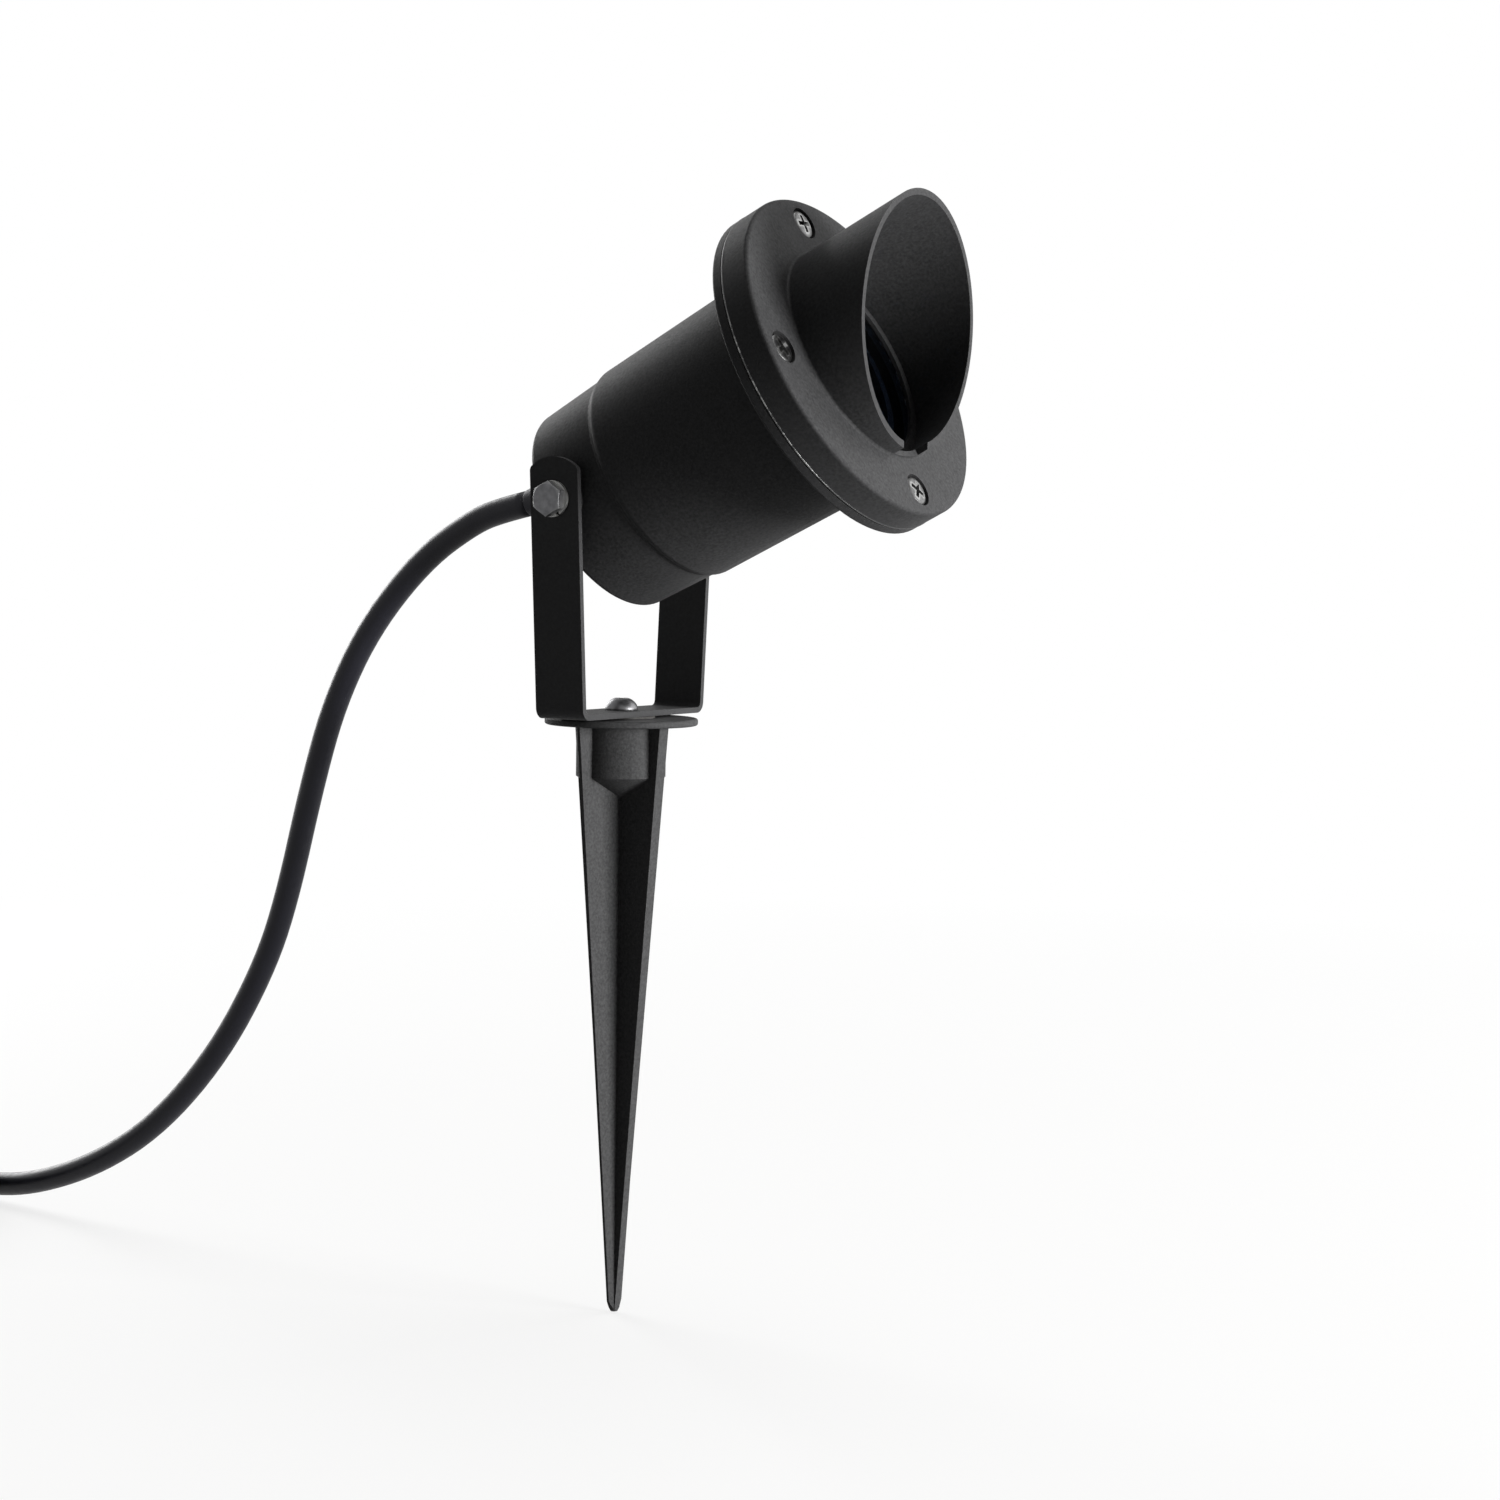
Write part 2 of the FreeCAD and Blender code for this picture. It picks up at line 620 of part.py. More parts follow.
def cross_recess(name, x, y, z, axis):
    """Two crossed boxes whose top is at the given point, cut down into a screw head along -axis."""
    long_side, short_side, deep = "dims.cross_length", "dims.cross_width", "dims.cross_depth"
    slots = []
    for i, (one, two) in enumerate(((long_side, short_side), (short_side, long_side))):
        if axis == "Z":
            low = (f"{x} - {one} / 2", f"{y} - {two} / 2", f"{z} - {deep}")
            lengths = (one, two, deep)
        else:
            low = (f"{x} - {deep}", f"{y} - {one} / 2", f"{z} - {two} / 2")
            lengths = (deep, one, two)
        slots.append(box(f"{name}_slot_{i}", low, lengths))
    return slots


def make_base_hardware():
    washer = ring(
        "friction_washer_ring",
        "dims.washer_radius",
        "dims.base_screw_radius + dims.running_gap",
        "dims.washer_thickness",
        z=DISC_TOP,
        axis="Z",
    )
    node(washer, "friction_washer")
    shank = cylinder(
        "base_screw_shank",
        "dims.base_screw_radius",
        "dims.base_screw_length",
        z=f"{BRACKET_TOP} - dims.base_screw_length",
        axis="Z",
    )
    head = cylinder(
        "base_screw_head", "dims.base_head_radius", "dims.base_head_height", z=BRACKET_TOP, axis="Z"
    )
    domed = doc.addObject("Part::Fillet", "base_screw_dome")
    domed.Base = head
    doc.recompute()
    top = max(
        (i for i, e in enumerate(head.Shape.Edges, start=1) if isinstance(e.Curve, Part.Circle)),
        key=lambda i: head.Shape.Edges[i - 1].Curve.Center.z,
    )
    crown = size("base_head_round")
    domed.Edges = [(top, crown, crown)]
    blank = fuse("base_screw_blank", shank, domed)
    slots = cross_recess("base_screw", "0", "0", f"{BRACKET_TOP} + dims.base_head_height", "Z")
    node(cut("base_screw_cut", blank, *slots), "base_screw")


# ---- bracket ----


def edges_across(shape, height):
    """Names of the edges that cross the whole strip at that height."""
    found = []
    for i, edge in enumerate(shape.Edges, start=1):
        across = abs(edge.BoundBox.XLength - size("strip_width")) < SAME
        if across and abs(edge.CenterOfMass.z - height) < SAME:
            found.append(f"Edge{i}")
    return found


def make_bracket():
    body = doc.addObject("PartDesign::Body", "u_bracket_body")
    outline = new_sketch(body, "u_bracket_outline", "YZ_Plane")
    lean = "((dims.pivot_half_width - dims.base_half_width) / dims.pivot_height)"
    leg_top = "(dims.pivot_height + dims.leg_end_radius)"
    outer_top = f"(dims.base_half_width + {lean} * {leg_top})"
    inner_foot = f"(dims.base_half_width - dims.strip_thickness + {lean} * dims.strip_thickness)"
    right = [
        ("dims.base_half_width", BRACKET_UNDER),
        (outer_top, f"{BRACKET_UNDER} + {leg_top}"),
        (f"{outer_top} - dims.strip_thickness", f"{BRACKET_UNDER} + {leg_top}"),
        (inner_foot, BRACKET_TOP),
    ]
    left = [(f"-({y})", z) for y, z in reversed(right)]
    polygon(outline, right + left)
    strip = body.newObject("PartDesign::Pad", "u_bracket_strip")
    strip.Profile = outline
    strip.SideType = "Symmetric"
    strip.setExpression("Length", "dims.strip_width")
    doc.recompute()
    foot_z = size("spike_length") + size("disc_thickness") + size("washer_thickness")
    outer = edges_across(body.Shape, foot_z)
    round_edges(body, "u_bracket_bends", outer, "dims.strip_bend")
    inner = edges_across(body.Shape, foot_z + size("strip_thickness"))
    round_edges(body, "u_bracket_inner_bends", inner, "dims.strip_bend - dims.strip_thickness")

    screw_hole = new_sketch(body, "u_bracket_screw_hole_outline", "XY_Plane")
    round_outline(screw_hole, "0", "0", "dims.base_screw_radius + dims.running_gap")
    drilled = body.newObject("PartDesign::Pocket", "u_bracket_screw_hole")
    drilled.Profile = screw_hole
    drilled.SideType = "Symmetric"
    drilled.setExpression("Length", f"2 * ({BRACKET_TOP} + dims.tool_over)")
    body.Tip = drilled
    doc.recompute()
    return body


def make_bracket_ends(body):
    """Rounds the legs' ends about the pivot and drills the pivot holes."""
    keep_leg = cylinder(
        "leg_end_keep",
        "dims.leg_end_radius",
        "4 * dims.pivot_half_width",
        y="-2 * dims.pivot_half_width",
        z=PIVOT_Z,
        axis="Y",
    )
    keep_foot = box(
        "leg_foot_keep",
        ("-dims.strip_width", "-2 * dims.pivot_half_width", "0"),
        ("2 * dims.strip_width", "4 * dims.pivot_half_width", PIVOT_Z),
    )
    keep = fuse("leg_keep", keep_leg, keep_foot)
    ends = doc.addObject("Part::Common", "u_bracket_ends")
    ends.Base = body
    ends.Tool = keep
    doc.recompute()
    corners = []
    for i, edge in enumerate(ends.Shape.Edges, start=1):
        across = edge.BoundBox.XLength < SAME and abs(edge.BoundBox.YLength - size("strip_thickness")) < 0.1
        at_side = abs(abs(edge.CenterOfMass.x) - size("strip_width") / 2) < SAME
        if across and at_side and edge.CenterOfMass.z > pivot_level():
            corners.append((i, size("leg_corner_round"), size("leg_corner_round")))
    soft = doc.addObject("Part::Fillet", "u_bracket_soft_ends")
    soft.Base = ends
    soft.Edges = corners
    hole = cylinder(
        "pivot_hole",
        "dims.pivot_bolt_radius + dims.running_gap",
        "4 * dims.pivot_half_width",
        y="-2 * dims.pivot_half_width",
        z=PIVOT_Z,
        axis="Y",
    )
    node(cut("u_bracket_drilled", soft, hole), "u_bracket")


# ---- lamp head: housing, bezel, glass ----


def around(angle):
    """The place of a bezel screw on its circle, as expressions for Y and Z."""
    circle = "(dims.flange_radius - dims.screw_edge)"
    return f"{circle} * cos({angle})", f"{circle} * sin({angle})"


def make_housing():
    rear = cone("housing_rear", "dims.rear_radius", "dims.rear_step_radius", "dims.rear_length")
    barrel = cone(
        "housing_barrel",
        "dims.barrel_radius",
        "dims.barrel_front_radius",
        "dims.barrel_length",
        x="dims.rear_length",
    )
    flange = cylinder("housing_flange", "dims.flange_radius", "dims.flange_thickness", x=FLANGE_REAR)
    doc.recompute()
    soft_rear = rounded_rim("housing_rear_rounded", rear, "rear_radius", 0.0, "rear_edge_round")
    soft_barrel = rounded_rim(
        "housing_barrel_rounded", barrel, "barrel_radius", size("rear_length"), "barrel_edge_round"
    )
    soft_flange = rounded_rim(
        "housing_flange_rounded",
        flange,
        "flange_radius",
        size("rear_length") + size("barrel_length"),
        "seal_inset",
    )
    bosses = []
    bores = []
    for side, sign in (("left", "-"), ("right", "")):
        start = f"-{BOSS_FACE}" if sign else f"{BOSS_FACE} - dims.pivot_boss_depth"
        place_at = dict(x="dims.pivot_from_rear", z="-dims.pivot_below_axis", axis="Y")
        bosses.append(
            cylinder(
                f"pivot_boss_{side}", "dims.pivot_boss_radius", "dims.pivot_boss_depth", y=start, **place_at
            )
        )
        deep = "(dims.pivot_boss_depth + 2 * dims.tool_over)"
        inward = f"{BOSS_FACE} - {deep} + dims.tool_over"
        start = f"-{BOSS_FACE} - dims.tool_over" if sign else inward
        bore = "dims.pivot_bolt_radius + dims.thread_gap"
        bores.append(cylinder(f"pivot_bore_{side}", bore, deep, y=start, **place_at))
    rear_room = cone(
        "housing_rear_room",
        "dims.rear_radius - dims.housing_wall",
        "dims.rear_step_radius - dims.housing_wall",
        "dims.rear_length - dims.rear_wall + dims.tool_over",
        x="dims.rear_wall",
    )
    barrel_room = cone(
        "housing_barrel_room",
        "dims.barrel_radius - dims.housing_wall",
        "dims.barrel_front_radius - dims.housing_wall",
        "dims.barrel_length + dims.flange_thickness",
        x="dims.rear_length",
    )
    seat_deep = "dims.gasket_thickness + dims.tool_over"
    seat = cylinder("housing_glass_seat", GLASS_SEAT, seat_deep, x=GASKET_REAR)
    shell = cut(
        "housing_shell",
        fuse("housing_outside", soft_rear, soft_barrel, soft_flange),
        rear_room,
        barrel_room,
        seat,
    )
    posts = []
    post_holes = []
    for side, sign in (("left", "-"), ("right", "")):
        y = f"{sign}dims.post_spacing / 2"
        tall = f"{BAR_REAR} - dims.rear_wall / 2"
        posts.append(cylinder(f"post_{side}", "dims.post_radius", tall, x="dims.rear_wall / 2", y=y))
        post_holes.append(
            cylinder(
                f"post_hole_{side}",
                "dims.small_screw_radius + dims.thread_gap",
                "dims.small_screw_length + dims.tool_over",
                x=f"{BAR_REAR} - dims.small_screw_length",
                y=y,
            )
        )
    earth_post = cylinder(
        "earth_post",
        "dims.earth_post_radius",
        f"{EARTH_FACE} - dims.rear_wall / 2",
        x="dims.rear_wall / 2",
        z="-dims.earth_post_drop",
    )
    earth_hole = cylinder(
        "earth_hole",
        "dims.small_screw_radius + dims.thread_gap",
        "dims.earth_post_height + dims.tool_over",
        x="dims.rear_wall",
        z="-dims.earth_post_drop",
    )
    pad_high = "dims.barrel_radius - dims.housing_wall / 2 - dims.block_pad_height"
    pad = box(
        "block_pad",
        (f"{BLOCK_REAR} + dims.block_pad_inset", "-dims.block_pad_width / 2", "dims.block_pad_height"),
        ("dims.block_length - 2 * dims.block_pad_inset", "dims.block_pad_width", pad_high),
    )
    entry = cylinder(
        "gland_entry",
        "dims.gland_thread_radius + dims.thread_gap",
        "dims.rear_wall + 2 * dims.tool_over",
        x="-dims.tool_over",
        z="dims.gland_rise",
    )
    flange_holes = []
    for i, angle in enumerate(SCREW_ANGLES):
        y, z = around(angle)
        flange_holes.append(
            cylinder(
                f"flange_hole_{i}",
                "dims.screw_radius + dims.thread_gap",
                "dims.flange_thickness + 2 * dims.tool_over",
                x=f"{FLANGE_REAR} - dims.tool_over",
                y=y,
                z=z,
            )
        )
    solid = fuse("housing_solid", shell, *bosses, *posts, earth_post, pad)
    drilled = cut("housing_drilled", solid, *bores, *post_holes, earth_hole, entry, *flange_holes)
    on_lamp(drilled, "housing")


def rounded_rim(name, base, radius_alias, station, round_alias):
    """Rounds the rim of a turned piece that has the given radius at the given station."""
    fillet = doc.addObject("Part::Fillet", name)
    fillet.Base = base
    rims = circle_edges(base.Shape, size(radius_alias), station)
    amount = size(round_alias)
    fillet.Edges = [(int(rim[4:]), amount, amount) for rim in rims]
    return fillet


def make_bezel():
    inner_lip = "(dims.glass_radius - dims.lip_overlap)"
    lip_front = f"({GLASS_FRONT} + dims.lip_thickness)"
    mouth = f"({BEZEL_FACE} + dims.visor_length)"
    body = turned_body(
        "front_bezel_body",
        [
            (BEZEL_REAR, GLASS_SEAT),
            (BEZEL_REAR, "dims.flange_radius"),
            (BEZEL_FACE, "dims.flange_radius"),
            (BEZEL_FACE, "dims.visor_radius"),
            (mouth, "dims.visor_radius"),
            (mouth, VISOR_BORE),
            (lip_front, VISOR_BORE),
            (lip_front, inner_lip),
            (GLASS_FRONT, inner_lip),
            (GLASS_FRONT, GLASS_SEAT),
        ],
    )
    face = size("rear_length") + size("barrel_length") + size("flange_thickness")
    face += size("seal_thickness") + size("bezel_thickness")
    rims = circle_edges(body.Shape, size("flange_radius"), face)
    round_edges(body, "front_bezel_rim", rims, "dims.bezel_edge_round")
    roots = circle_edges(body.Shape, size("visor_radius"), face)
    round_edges(body, "front_bezel_root", roots, "dims.visor_root_round")

    slope = "tan(dims.visor_cut_angle)"
    far = "2 * dims.flange_radius"
    above, below = "dims.visor_radius + dims.tool_over", "-dims.visor_radius - dims.tool_over"
    cutaway = new_sketch(body, "visor_mouth_outline", "XZ_Plane")
    polygon(
        cutaway,
        [
            (f"{mouth} + {slope} * dims.tool_over", above),
            (f"{mouth} - {slope} * (2 * dims.visor_radius + dims.tool_over)", below),
            (f"{mouth} + {far}", below),
            (f"{mouth} + {far}", above),
        ],
    )
    mouth_cut = body.newObject("PartDesign::Pocket", "visor_mouth")
    mouth_cut.Profile = cutaway
    mouth_cut.SideType = "Symmetric"
    mouth_cut.setExpression("Length", far)
    body.Tip = mouth_cut
    doc.recompute()

    slot = new_sketch(body, "drain_slot_outline", "XY_Plane")
    slot_low, slot_high = "-dims.visor_slot_width / 2", "dims.visor_slot_width / 2"
    slot_rear = f"{BEZEL_FACE} + dims.visor_slot_floor"
    polygon(
        slot,
        [(slot_rear, slot_low), (mouth, slot_low), (mouth, slot_high), (slot_rear, slot_high)],
    )
    slotted = body.newObject("PartDesign::Pocket", "drain_slot")
    slotted.Profile = slot
    slotted.setExpression("Length", "dims.visor_radius + dims.tool_over")
    body.Tip = slotted
    doc.recompute()

    tools = []
    for i, angle in enumerate(SCREW_ANGLES):
        y, z = around(angle)
        tools.append(
            cylinder(
                f"bezel_recess_{i}",
                "dims.screw_recess_radius",
                "dims.screw_recess_depth + dims.tool_over",
                x=f"{BEZEL_FACE} - dims.screw_recess_depth",
                y=y,
                z=z,
            )
        )
        tools.append(
            cylinder(
                f"bezel_hole_{i}",
                "dims.screw_radius + dims.screw_hole_gap",
                "dims.bezel_thickness + 2 * dims.tool_over",
                x=f"{BEZEL_REAR} - dims.tool_over",
                y=y,
                z=z,
            )
        )
    on_lamp(cut("front_bezel_drilled", body, *tools), "front_bezel")


def make_glass_and_seals():
    rear, front = FLANGE_FRONT, GLASS_FRONT
    bevel = "dims.glass_chamfer"
    glass = turned_body(
        "lens_glass_body",
        [
            (rear, "0"),
            (rear, f"dims.glass_radius - {bevel}"),
            (f"{rear} + {bevel}", "dims.glass_radius"),
            (f"{front} - {bevel}", "dims.glass_radius"),
            (front, f"dims.glass_radius - {bevel}"),
            (front, "0"),
        ],
    )
    on_lamp(glass, "lens_glass")
    gasket = ring(
        "lens_gasket_ring",
        "dims.glass_radius",
        "dims.glass_radius - dims.gasket_width",
        "dims.gasket_thickness",
        x=GASKET_REAR,
    )
    on_lamp(gasket, "lens_gasket")
    sheet_ring = cylinder(
        "flange_seal_disc", "dims.flange_radius - dims.seal_inset", "dims.seal_thickness", x=FLANGE_FRONT
    )
    holes = [cylinder("flange_seal_middle", GLASS_SEAT, "dims.seal_thickness", x=FLANGE_FRONT)]
    for i, angle in enumerate(SCREW_ANGLES):
        y, z = around(angle)
        holes.append(
            cylinder(
                f"flange_seal_hole_{i}",
                "dims.screw_radius + dims.screw_hole_gap",
                "dims.seal_thickness",
                x=FLANGE_FRONT,
                y=y,
                z=z,
            )
        )
    on_lamp(cut("flange_seal_cut", sheet_ring, *holes), "flange_seal")


def make_bezel_screws():
    screws = []
    seat = f"({BEZEL_FACE} - dims.screw_recess_depth)"
    for i, angle in enumerate(SCREW_ANGLES):
        y, z = around(angle)
        shank = cylinder(
            f"bezel_screw_shank_{i}",
            "dims.screw_radius",
            "dims.screw_length",
            x=f"{seat} - dims.screw_length",
            y=y,
            z=z,
        )
        head = cylinder(
            f"bezel_screw_head_{i}", "dims.screw_head_radius", "dims.screw_head_height", x=seat, y=y, z=z
        )
        top = f"({seat} + dims.screw_head_height)"
        slots = cross_recess(f"bezel_screw_{i}", top, y, z, "X")
        screws.append(cut(f"bezel_screw_{i}", fuse(f"bezel_screw_blank_{i}", shank, head), *slots))
    on_lamp(group("bezel_screw_group", screws), "bezel_screws")


# ---- pivot hardware ----


def make_pivot_hardware():
    bolts, springs, pads = [], [], []
    across = dict(x="dims.pivot_from_rear", z="-dims.pivot_below_axis", axis="Y")
    for side, sign in (("left", "-"), ("right", "")):
        low = THREAD_END
        long = f"({HEX_INSIDE} - {THREAD_END})"
        start = f"-{HEX_INSIDE}" if sign else low
        shank = cylinder(f"pivot_shank_{side}", "dims.pivot_bolt_radius", long, y=start, **across)
        start = f"-{HEX_INSIDE} - dims.hex_height" if sign else HEX_INSIDE
        head = prism(f"pivot_hex_{side}", "dims.hex_flats", "dims.hex_height", y=start, **across)
        bolts.append(fuse(f"pivot_bolt_{side}", shank, head))
        start = f"-{HEX_INSIDE}" if sign else SPRING_INSIDE
        coil = ring(
            f"spring_washer_{side}",
            "dims.spring_washer_radius",
            "dims.pivot_bolt_radius + dims.thread_gap",
            "dims.spring_washer_thickness",
            y=start,
            **across,
        )
        gap = box(
            f"spring_washer_gap_{side}",
            (
                "dims.pivot_from_rear - dims.spring_washer_split / 2",
                start,
                "-dims.pivot_below_axis - 2 * dims.spring_washer_radius",
            ),
            ("dims.spring_washer_split", "dims.spring_washer_thickness", "2 * dims.spring_washer_radius"),
        )
        springs.append(cut(f"spring_washer_split_{side}", coil, gap))
        start = f"-{PAD_OUTSIDE}" if sign else BOSS_FACE
        pads.append(
            ring(
                f"pad_washer_{side}",
                "dims.pad_washer_radius",
                "dims.pivot_bolt_radius + dims.thread_gap",
                "dims.pad_washer_thickness",
                y=start,
                **across,
            )
        )
    on_lamp(group("pivot_bolt_group", bolts), "pivot_bolts")
    on_lamp(group("spring_washer_group", springs), "spring_washers")
    on_lamp(group("pad_washer_group", pads), "pad_washers")


# ---- lamp, holder and wiring ----


def make_lamp():
    rim_rear = f"({LAMP_FRONT} - dims.lamp_rim)"
    base_front = f"({LAMP_REAR} + dims.lamp_base_length)"
    cover_rear = f"({LAMP_FRONT} - dims.lamp_cover_thickness)"
    shell = turned_body(
        "lamp_body_shell",
        [
            (LAMP_REAR, "0"),
            (LAMP_REAR, "dims.lamp_base_radius"),
            (base_front, "dims.lamp_base_radius"),
            (rim_rear, "dims.lamp_radius"),
            (LAMP_FRONT, "dims.lamp_radius"),
            (LAMP_FRONT, "dims.lamp_cover_radius"),
            (cover_rear, "dims.lamp_cover_radius"),
            (cover_rear, "0"),
        ],
    )
    on_lamp(shell, "lamp_body")
    cover_radius = "dims.lamp_cover_radius - dims.cover_gap"
    cover = cylinder("lamp_cover_disc", cover_radius, "dims.lamp_cover_thickness", x=cover_rear)
    on_lamp(group("lamp_cover_piece", [cover]), "lamp_cover")
    pins, sockets = [], []
    for side, sign in (("left", "-"), ("right", "")):
        y = f"{sign}dims.lamp_pin_spacing / 2"
        pin = cylinder(
            f"lamp_pin_{side}",
            "dims.lamp_pin_radius",
            "dims.lamp_pin_length",
            x=f"{LAMP_REAR} - dims.lamp_pin_length",
            y=y,
        )
        knob = cylinder(
            f"lamp_pin_head_{side}",
            "dims.lamp_pin_head_radius",
            "dims.lamp_pin_head_length",
            x=f"{LAMP_REAR} - dims.lamp_pin_length",
            y=y,
        )
        pins.append(fuse(f"lamp_pin_whole_{side}", pin, knob))
        sockets.append(
            cylinder(
                f"holder_socket_{side}",
                "dims.lamp_pin_head_radius + dims.pin_gap",
                "dims.lamp_pin_length + dims.pin_gap",
                x=f"{LAMP_REAR} - dims.lamp_pin_length - dims.pin_gap",
                y=y,
            )
        )
    on_lamp(group("lamp_pin_group", pins), "lamp_pins")
    block = cylinder("holder_block", "dims.holder_radius", "dims.holder_length", x=HOLDER_REAR)
    on_lamp(cut("holder_bored", block, *sockets), "lamp_holder")


def make_holder_bar():
    bar = box(
        "holder_bar_strip",
        (BAR_REAR, "-dims.bar_length / 2", "-dims.bar_width / 2"),
        ("dims.bar_thickness", "dims.bar_length", "dims.bar_width"),
    )
    holes, screws = [], []
    for side, sign in (("left", "-"), ("right", "")):
        y = f"{sign}dims.post_spacing / 2"
        holes.append(
            cylinder(
                f"bar_hole_{side}",
                "dims.small_screw_radius + dims.thread_gap",
                "dims.bar_thickness",
                x=BAR_REAR,
                y=y,
            )
        )
        shank = cylinder(
            f"holder_screw_shank_{side}",
            "dims.small_screw_radius",
            "dims.small_screw_length",
            x=f"{HOLDER_REAR} - dims.small_screw_length",
            y=y,
        )
        head = cylinder(
            f"holder_screw_head_{side}",
            "dims.small_head_radius",
            "dims.small_head_height",
            x=HOLDER_REAR,
            y=y,
        )
        screws.append(fuse(f"holder_screw_{side}", shank, head))
    on_lamp(cut("holder_bar_drilled", bar, *holes), "holder_bar")
    on_lamp(group("holder_screw_group", screws), "holder_screws")


def make_terminal_block():
    block = box(
        "terminal_block_box",
        (BLOCK_REAR, "-dims.block_width / 2", BLOCK_UNDER),
        ("dims.block_length", "dims.block_width", "dims.block_height"),
    )
    bores, screws = [], []
    front = f"({BLOCK_REAR} + dims.block_length)"
    middle = f"({BLOCK_UNDER} + dims.block_height / 2)"
    for i in (-1, 0, 1):
        y = f"{i} * dims.block_pitch"
        name = ("low", "middle", "high")[i + 1]
        bores.append(
            cylinder(
                f"terminal_bore_{name}",
                "dims.terminal_screw_radius + dims.thread_gap",
                "dims.terminal_screw_length",
                x=f"{front} - dims.terminal_screw_length",
                y=y,
                z=middle,
            )
        )
        screw = cylinder(
            f"terminal_screw_{name}",
            "dims.terminal_screw_radius",
            "dims.terminal_screw_length",
            x=f"{front} - dims.terminal_screw_length",
            y=y,
            z=middle,
        )
        slot = box(
            f"terminal_screw_slot_{name}",
            (
                f"{front} - dims.terminal_slot_depth",
                f"{y} - dims.terminal_screw_radius",
                f"{middle} - dims.terminal_slot_width / 2",
            ),
            ("dims.terminal_slot_depth", "2 * dims.terminal_screw_radius", "dims.terminal_slot_width"),
        )
        screws.append(cut(f"terminal_screw_cut_{name}", screw, slot))
    on_lamp(cut("terminal_block_bored", block, *bores), "terminal_block")
    on_lamp(group("terminal_screw_group", screws), "terminal_screws")
    leads = []
    foot = "sqrt(pow(dims.holder_radius; 2) - pow(dims.lamp_pin_spacing / 2 - dims.core_radius; 2))"
    for side, sign in (("left", "-"), ("right", "")):
        y = f"{sign}dims.lamp_pin_spacing / 2"
        leads.append(
            cylinder(
                f"holder_lead_{side}",
                "dims.core_radius",
                f"{BLOCK_UNDER} - {foot}",
                x=f"{LAMP_REAR} - dims.holder_lead_setback",
                y=y,
                z=foot,
                axis="Z",
            )
        )
    on_lamp(group("holder_lead_group", leads), "holder_leads")


def make_cores():
    """The lead's three cores, from the sheath's end to the terminal block and to the earth screw."""
    sheath_end = Vector(size("inlet_length") + size("core_start_gap"), 0, size("gland_rise"))
    block_rear = size("rear_length") + size("block_front_gap") - size("core_end_gap")
    block_middle = size("block_pad_height") - size("block_gap") - size("block_height") / 2
    tag_front = size("rear_wall") + size("earth_post_height") + size("earth_tag_thickness") / 2
    tag_edge = size("earth_tag_radius") + 2 * size("core_end_gap") - size("earth_post_drop")
    pitch = size("block_pitch")
    ends = {
        "live_core": Vector(block_rear, -pitch, block_middle),
        "neutral_core": Vector(block_rear, pitch, block_middle),
        "earth_core": Vector(tag_front + size("core_end_gap"), 0, tag_edge),
    }
    off_axis = Vector(0, 0, -size("core_circle"))
    thirds = {"live_core": 240.0, "neutral_core": 120.0, "earth_core": 0.0}
    for name, bends in CORE_BENDS.items():
        start = sheath_end + Rotation(Vector(1, 0, 0), thirds[name]).multVec(off_axis)
        edges, _ = rounded_route([start, *bends, ends[name]])
        on_lamp_fixed(feature(f"{name}_wire", tube(edges, size("core_radius"))), name)


def on_lamp_fixed(obj, name):
    """Names a shape drawn in the lamp's frame and gives it the lamp's placement."""
    obj.Placement = lamp_placement()
    return node(obj, name)


def make_earth():
    drop = "-dims.earth_post_drop"
    tag = ring(
        "earth_tag_ring",
        "dims.earth_tag_radius",
        "dims.small_screw_radius + dims.thread_gap",
        "dims.earth_tag_thickness",
        x=EARTH_FACE,
        z=drop,
    )
    on_lamp(tag, "earth_tag")
    head_rear = f"({EARTH_FACE} + dims.earth_tag_thickness)"
    shank = cylinder(
        "earth_screw_shank",
        "dims.small_screw_radius",
        "dims.earth_post_height + dims.earth_tag_thickness",
        x="dims.rear_wall",
        z=drop,
    )
    head = cylinder(
        "earth_screw_head", "dims.small_head_radius", "dims.small_head_height", x=head_rear, z=drop
    )
    on_lamp(fuse("earth_screw_whole", shank, head), "earth_screw")


# ---- cable entry ----


def make_gland():
    rise = "dims.gland_rise"
    bore = "dims.cable_radius + dims.cable_gap"
    seal = ring(
        "gland_seal_ring",
        "dims.gland_flats / 2",
        "dims.gland_thread_radius + dims.thread_gap",
        "dims.gland_seal_thickness",
        x="-dims.gland_seal_thickness",
        z=rise,
    )
    on_lamp(seal, "gland_seal")
    hexagon = prism("gland_hexagon", "dims.gland_flats", "dims.gland_hex_height", x=GLAND_REAR, z=rise)
    past_wall = "dims.locknut_height + dims.gland_thread_end"
    thread_long = f"(dims.gland_seal_thickness + dims.rear_wall + {past_wall})"
    thread = cylinder(
        "gland_thread", "dims.gland_thread_radius", thread_long, x="-dims.gland_seal_thickness", z=rise
    )
    hole = cylinder(
        "gland_bore", bore, f"dims.gland_hex_height + {thread_long}", x=GLAND_REAR, z=rise
    )
    on_lamp(cut("gland_body_bored", fuse("gland_blank", hexagon, thread), hole), "gland_body")
    nut = prism("locknut_hexagon", "dims.locknut_flats", "dims.locknut_height", x="dims.rear_wall", z=rise)
    nut_hole = cylinder(
        "locknut_hole",
        "dims.gland_thread_radius + dims.thread_gap",
        "dims.locknut_height",
        x="dims.rear_wall",
        z=rise,
    )
    on_lamp(cut("locknut_bored", nut, nut_hole), "gland_locknut")


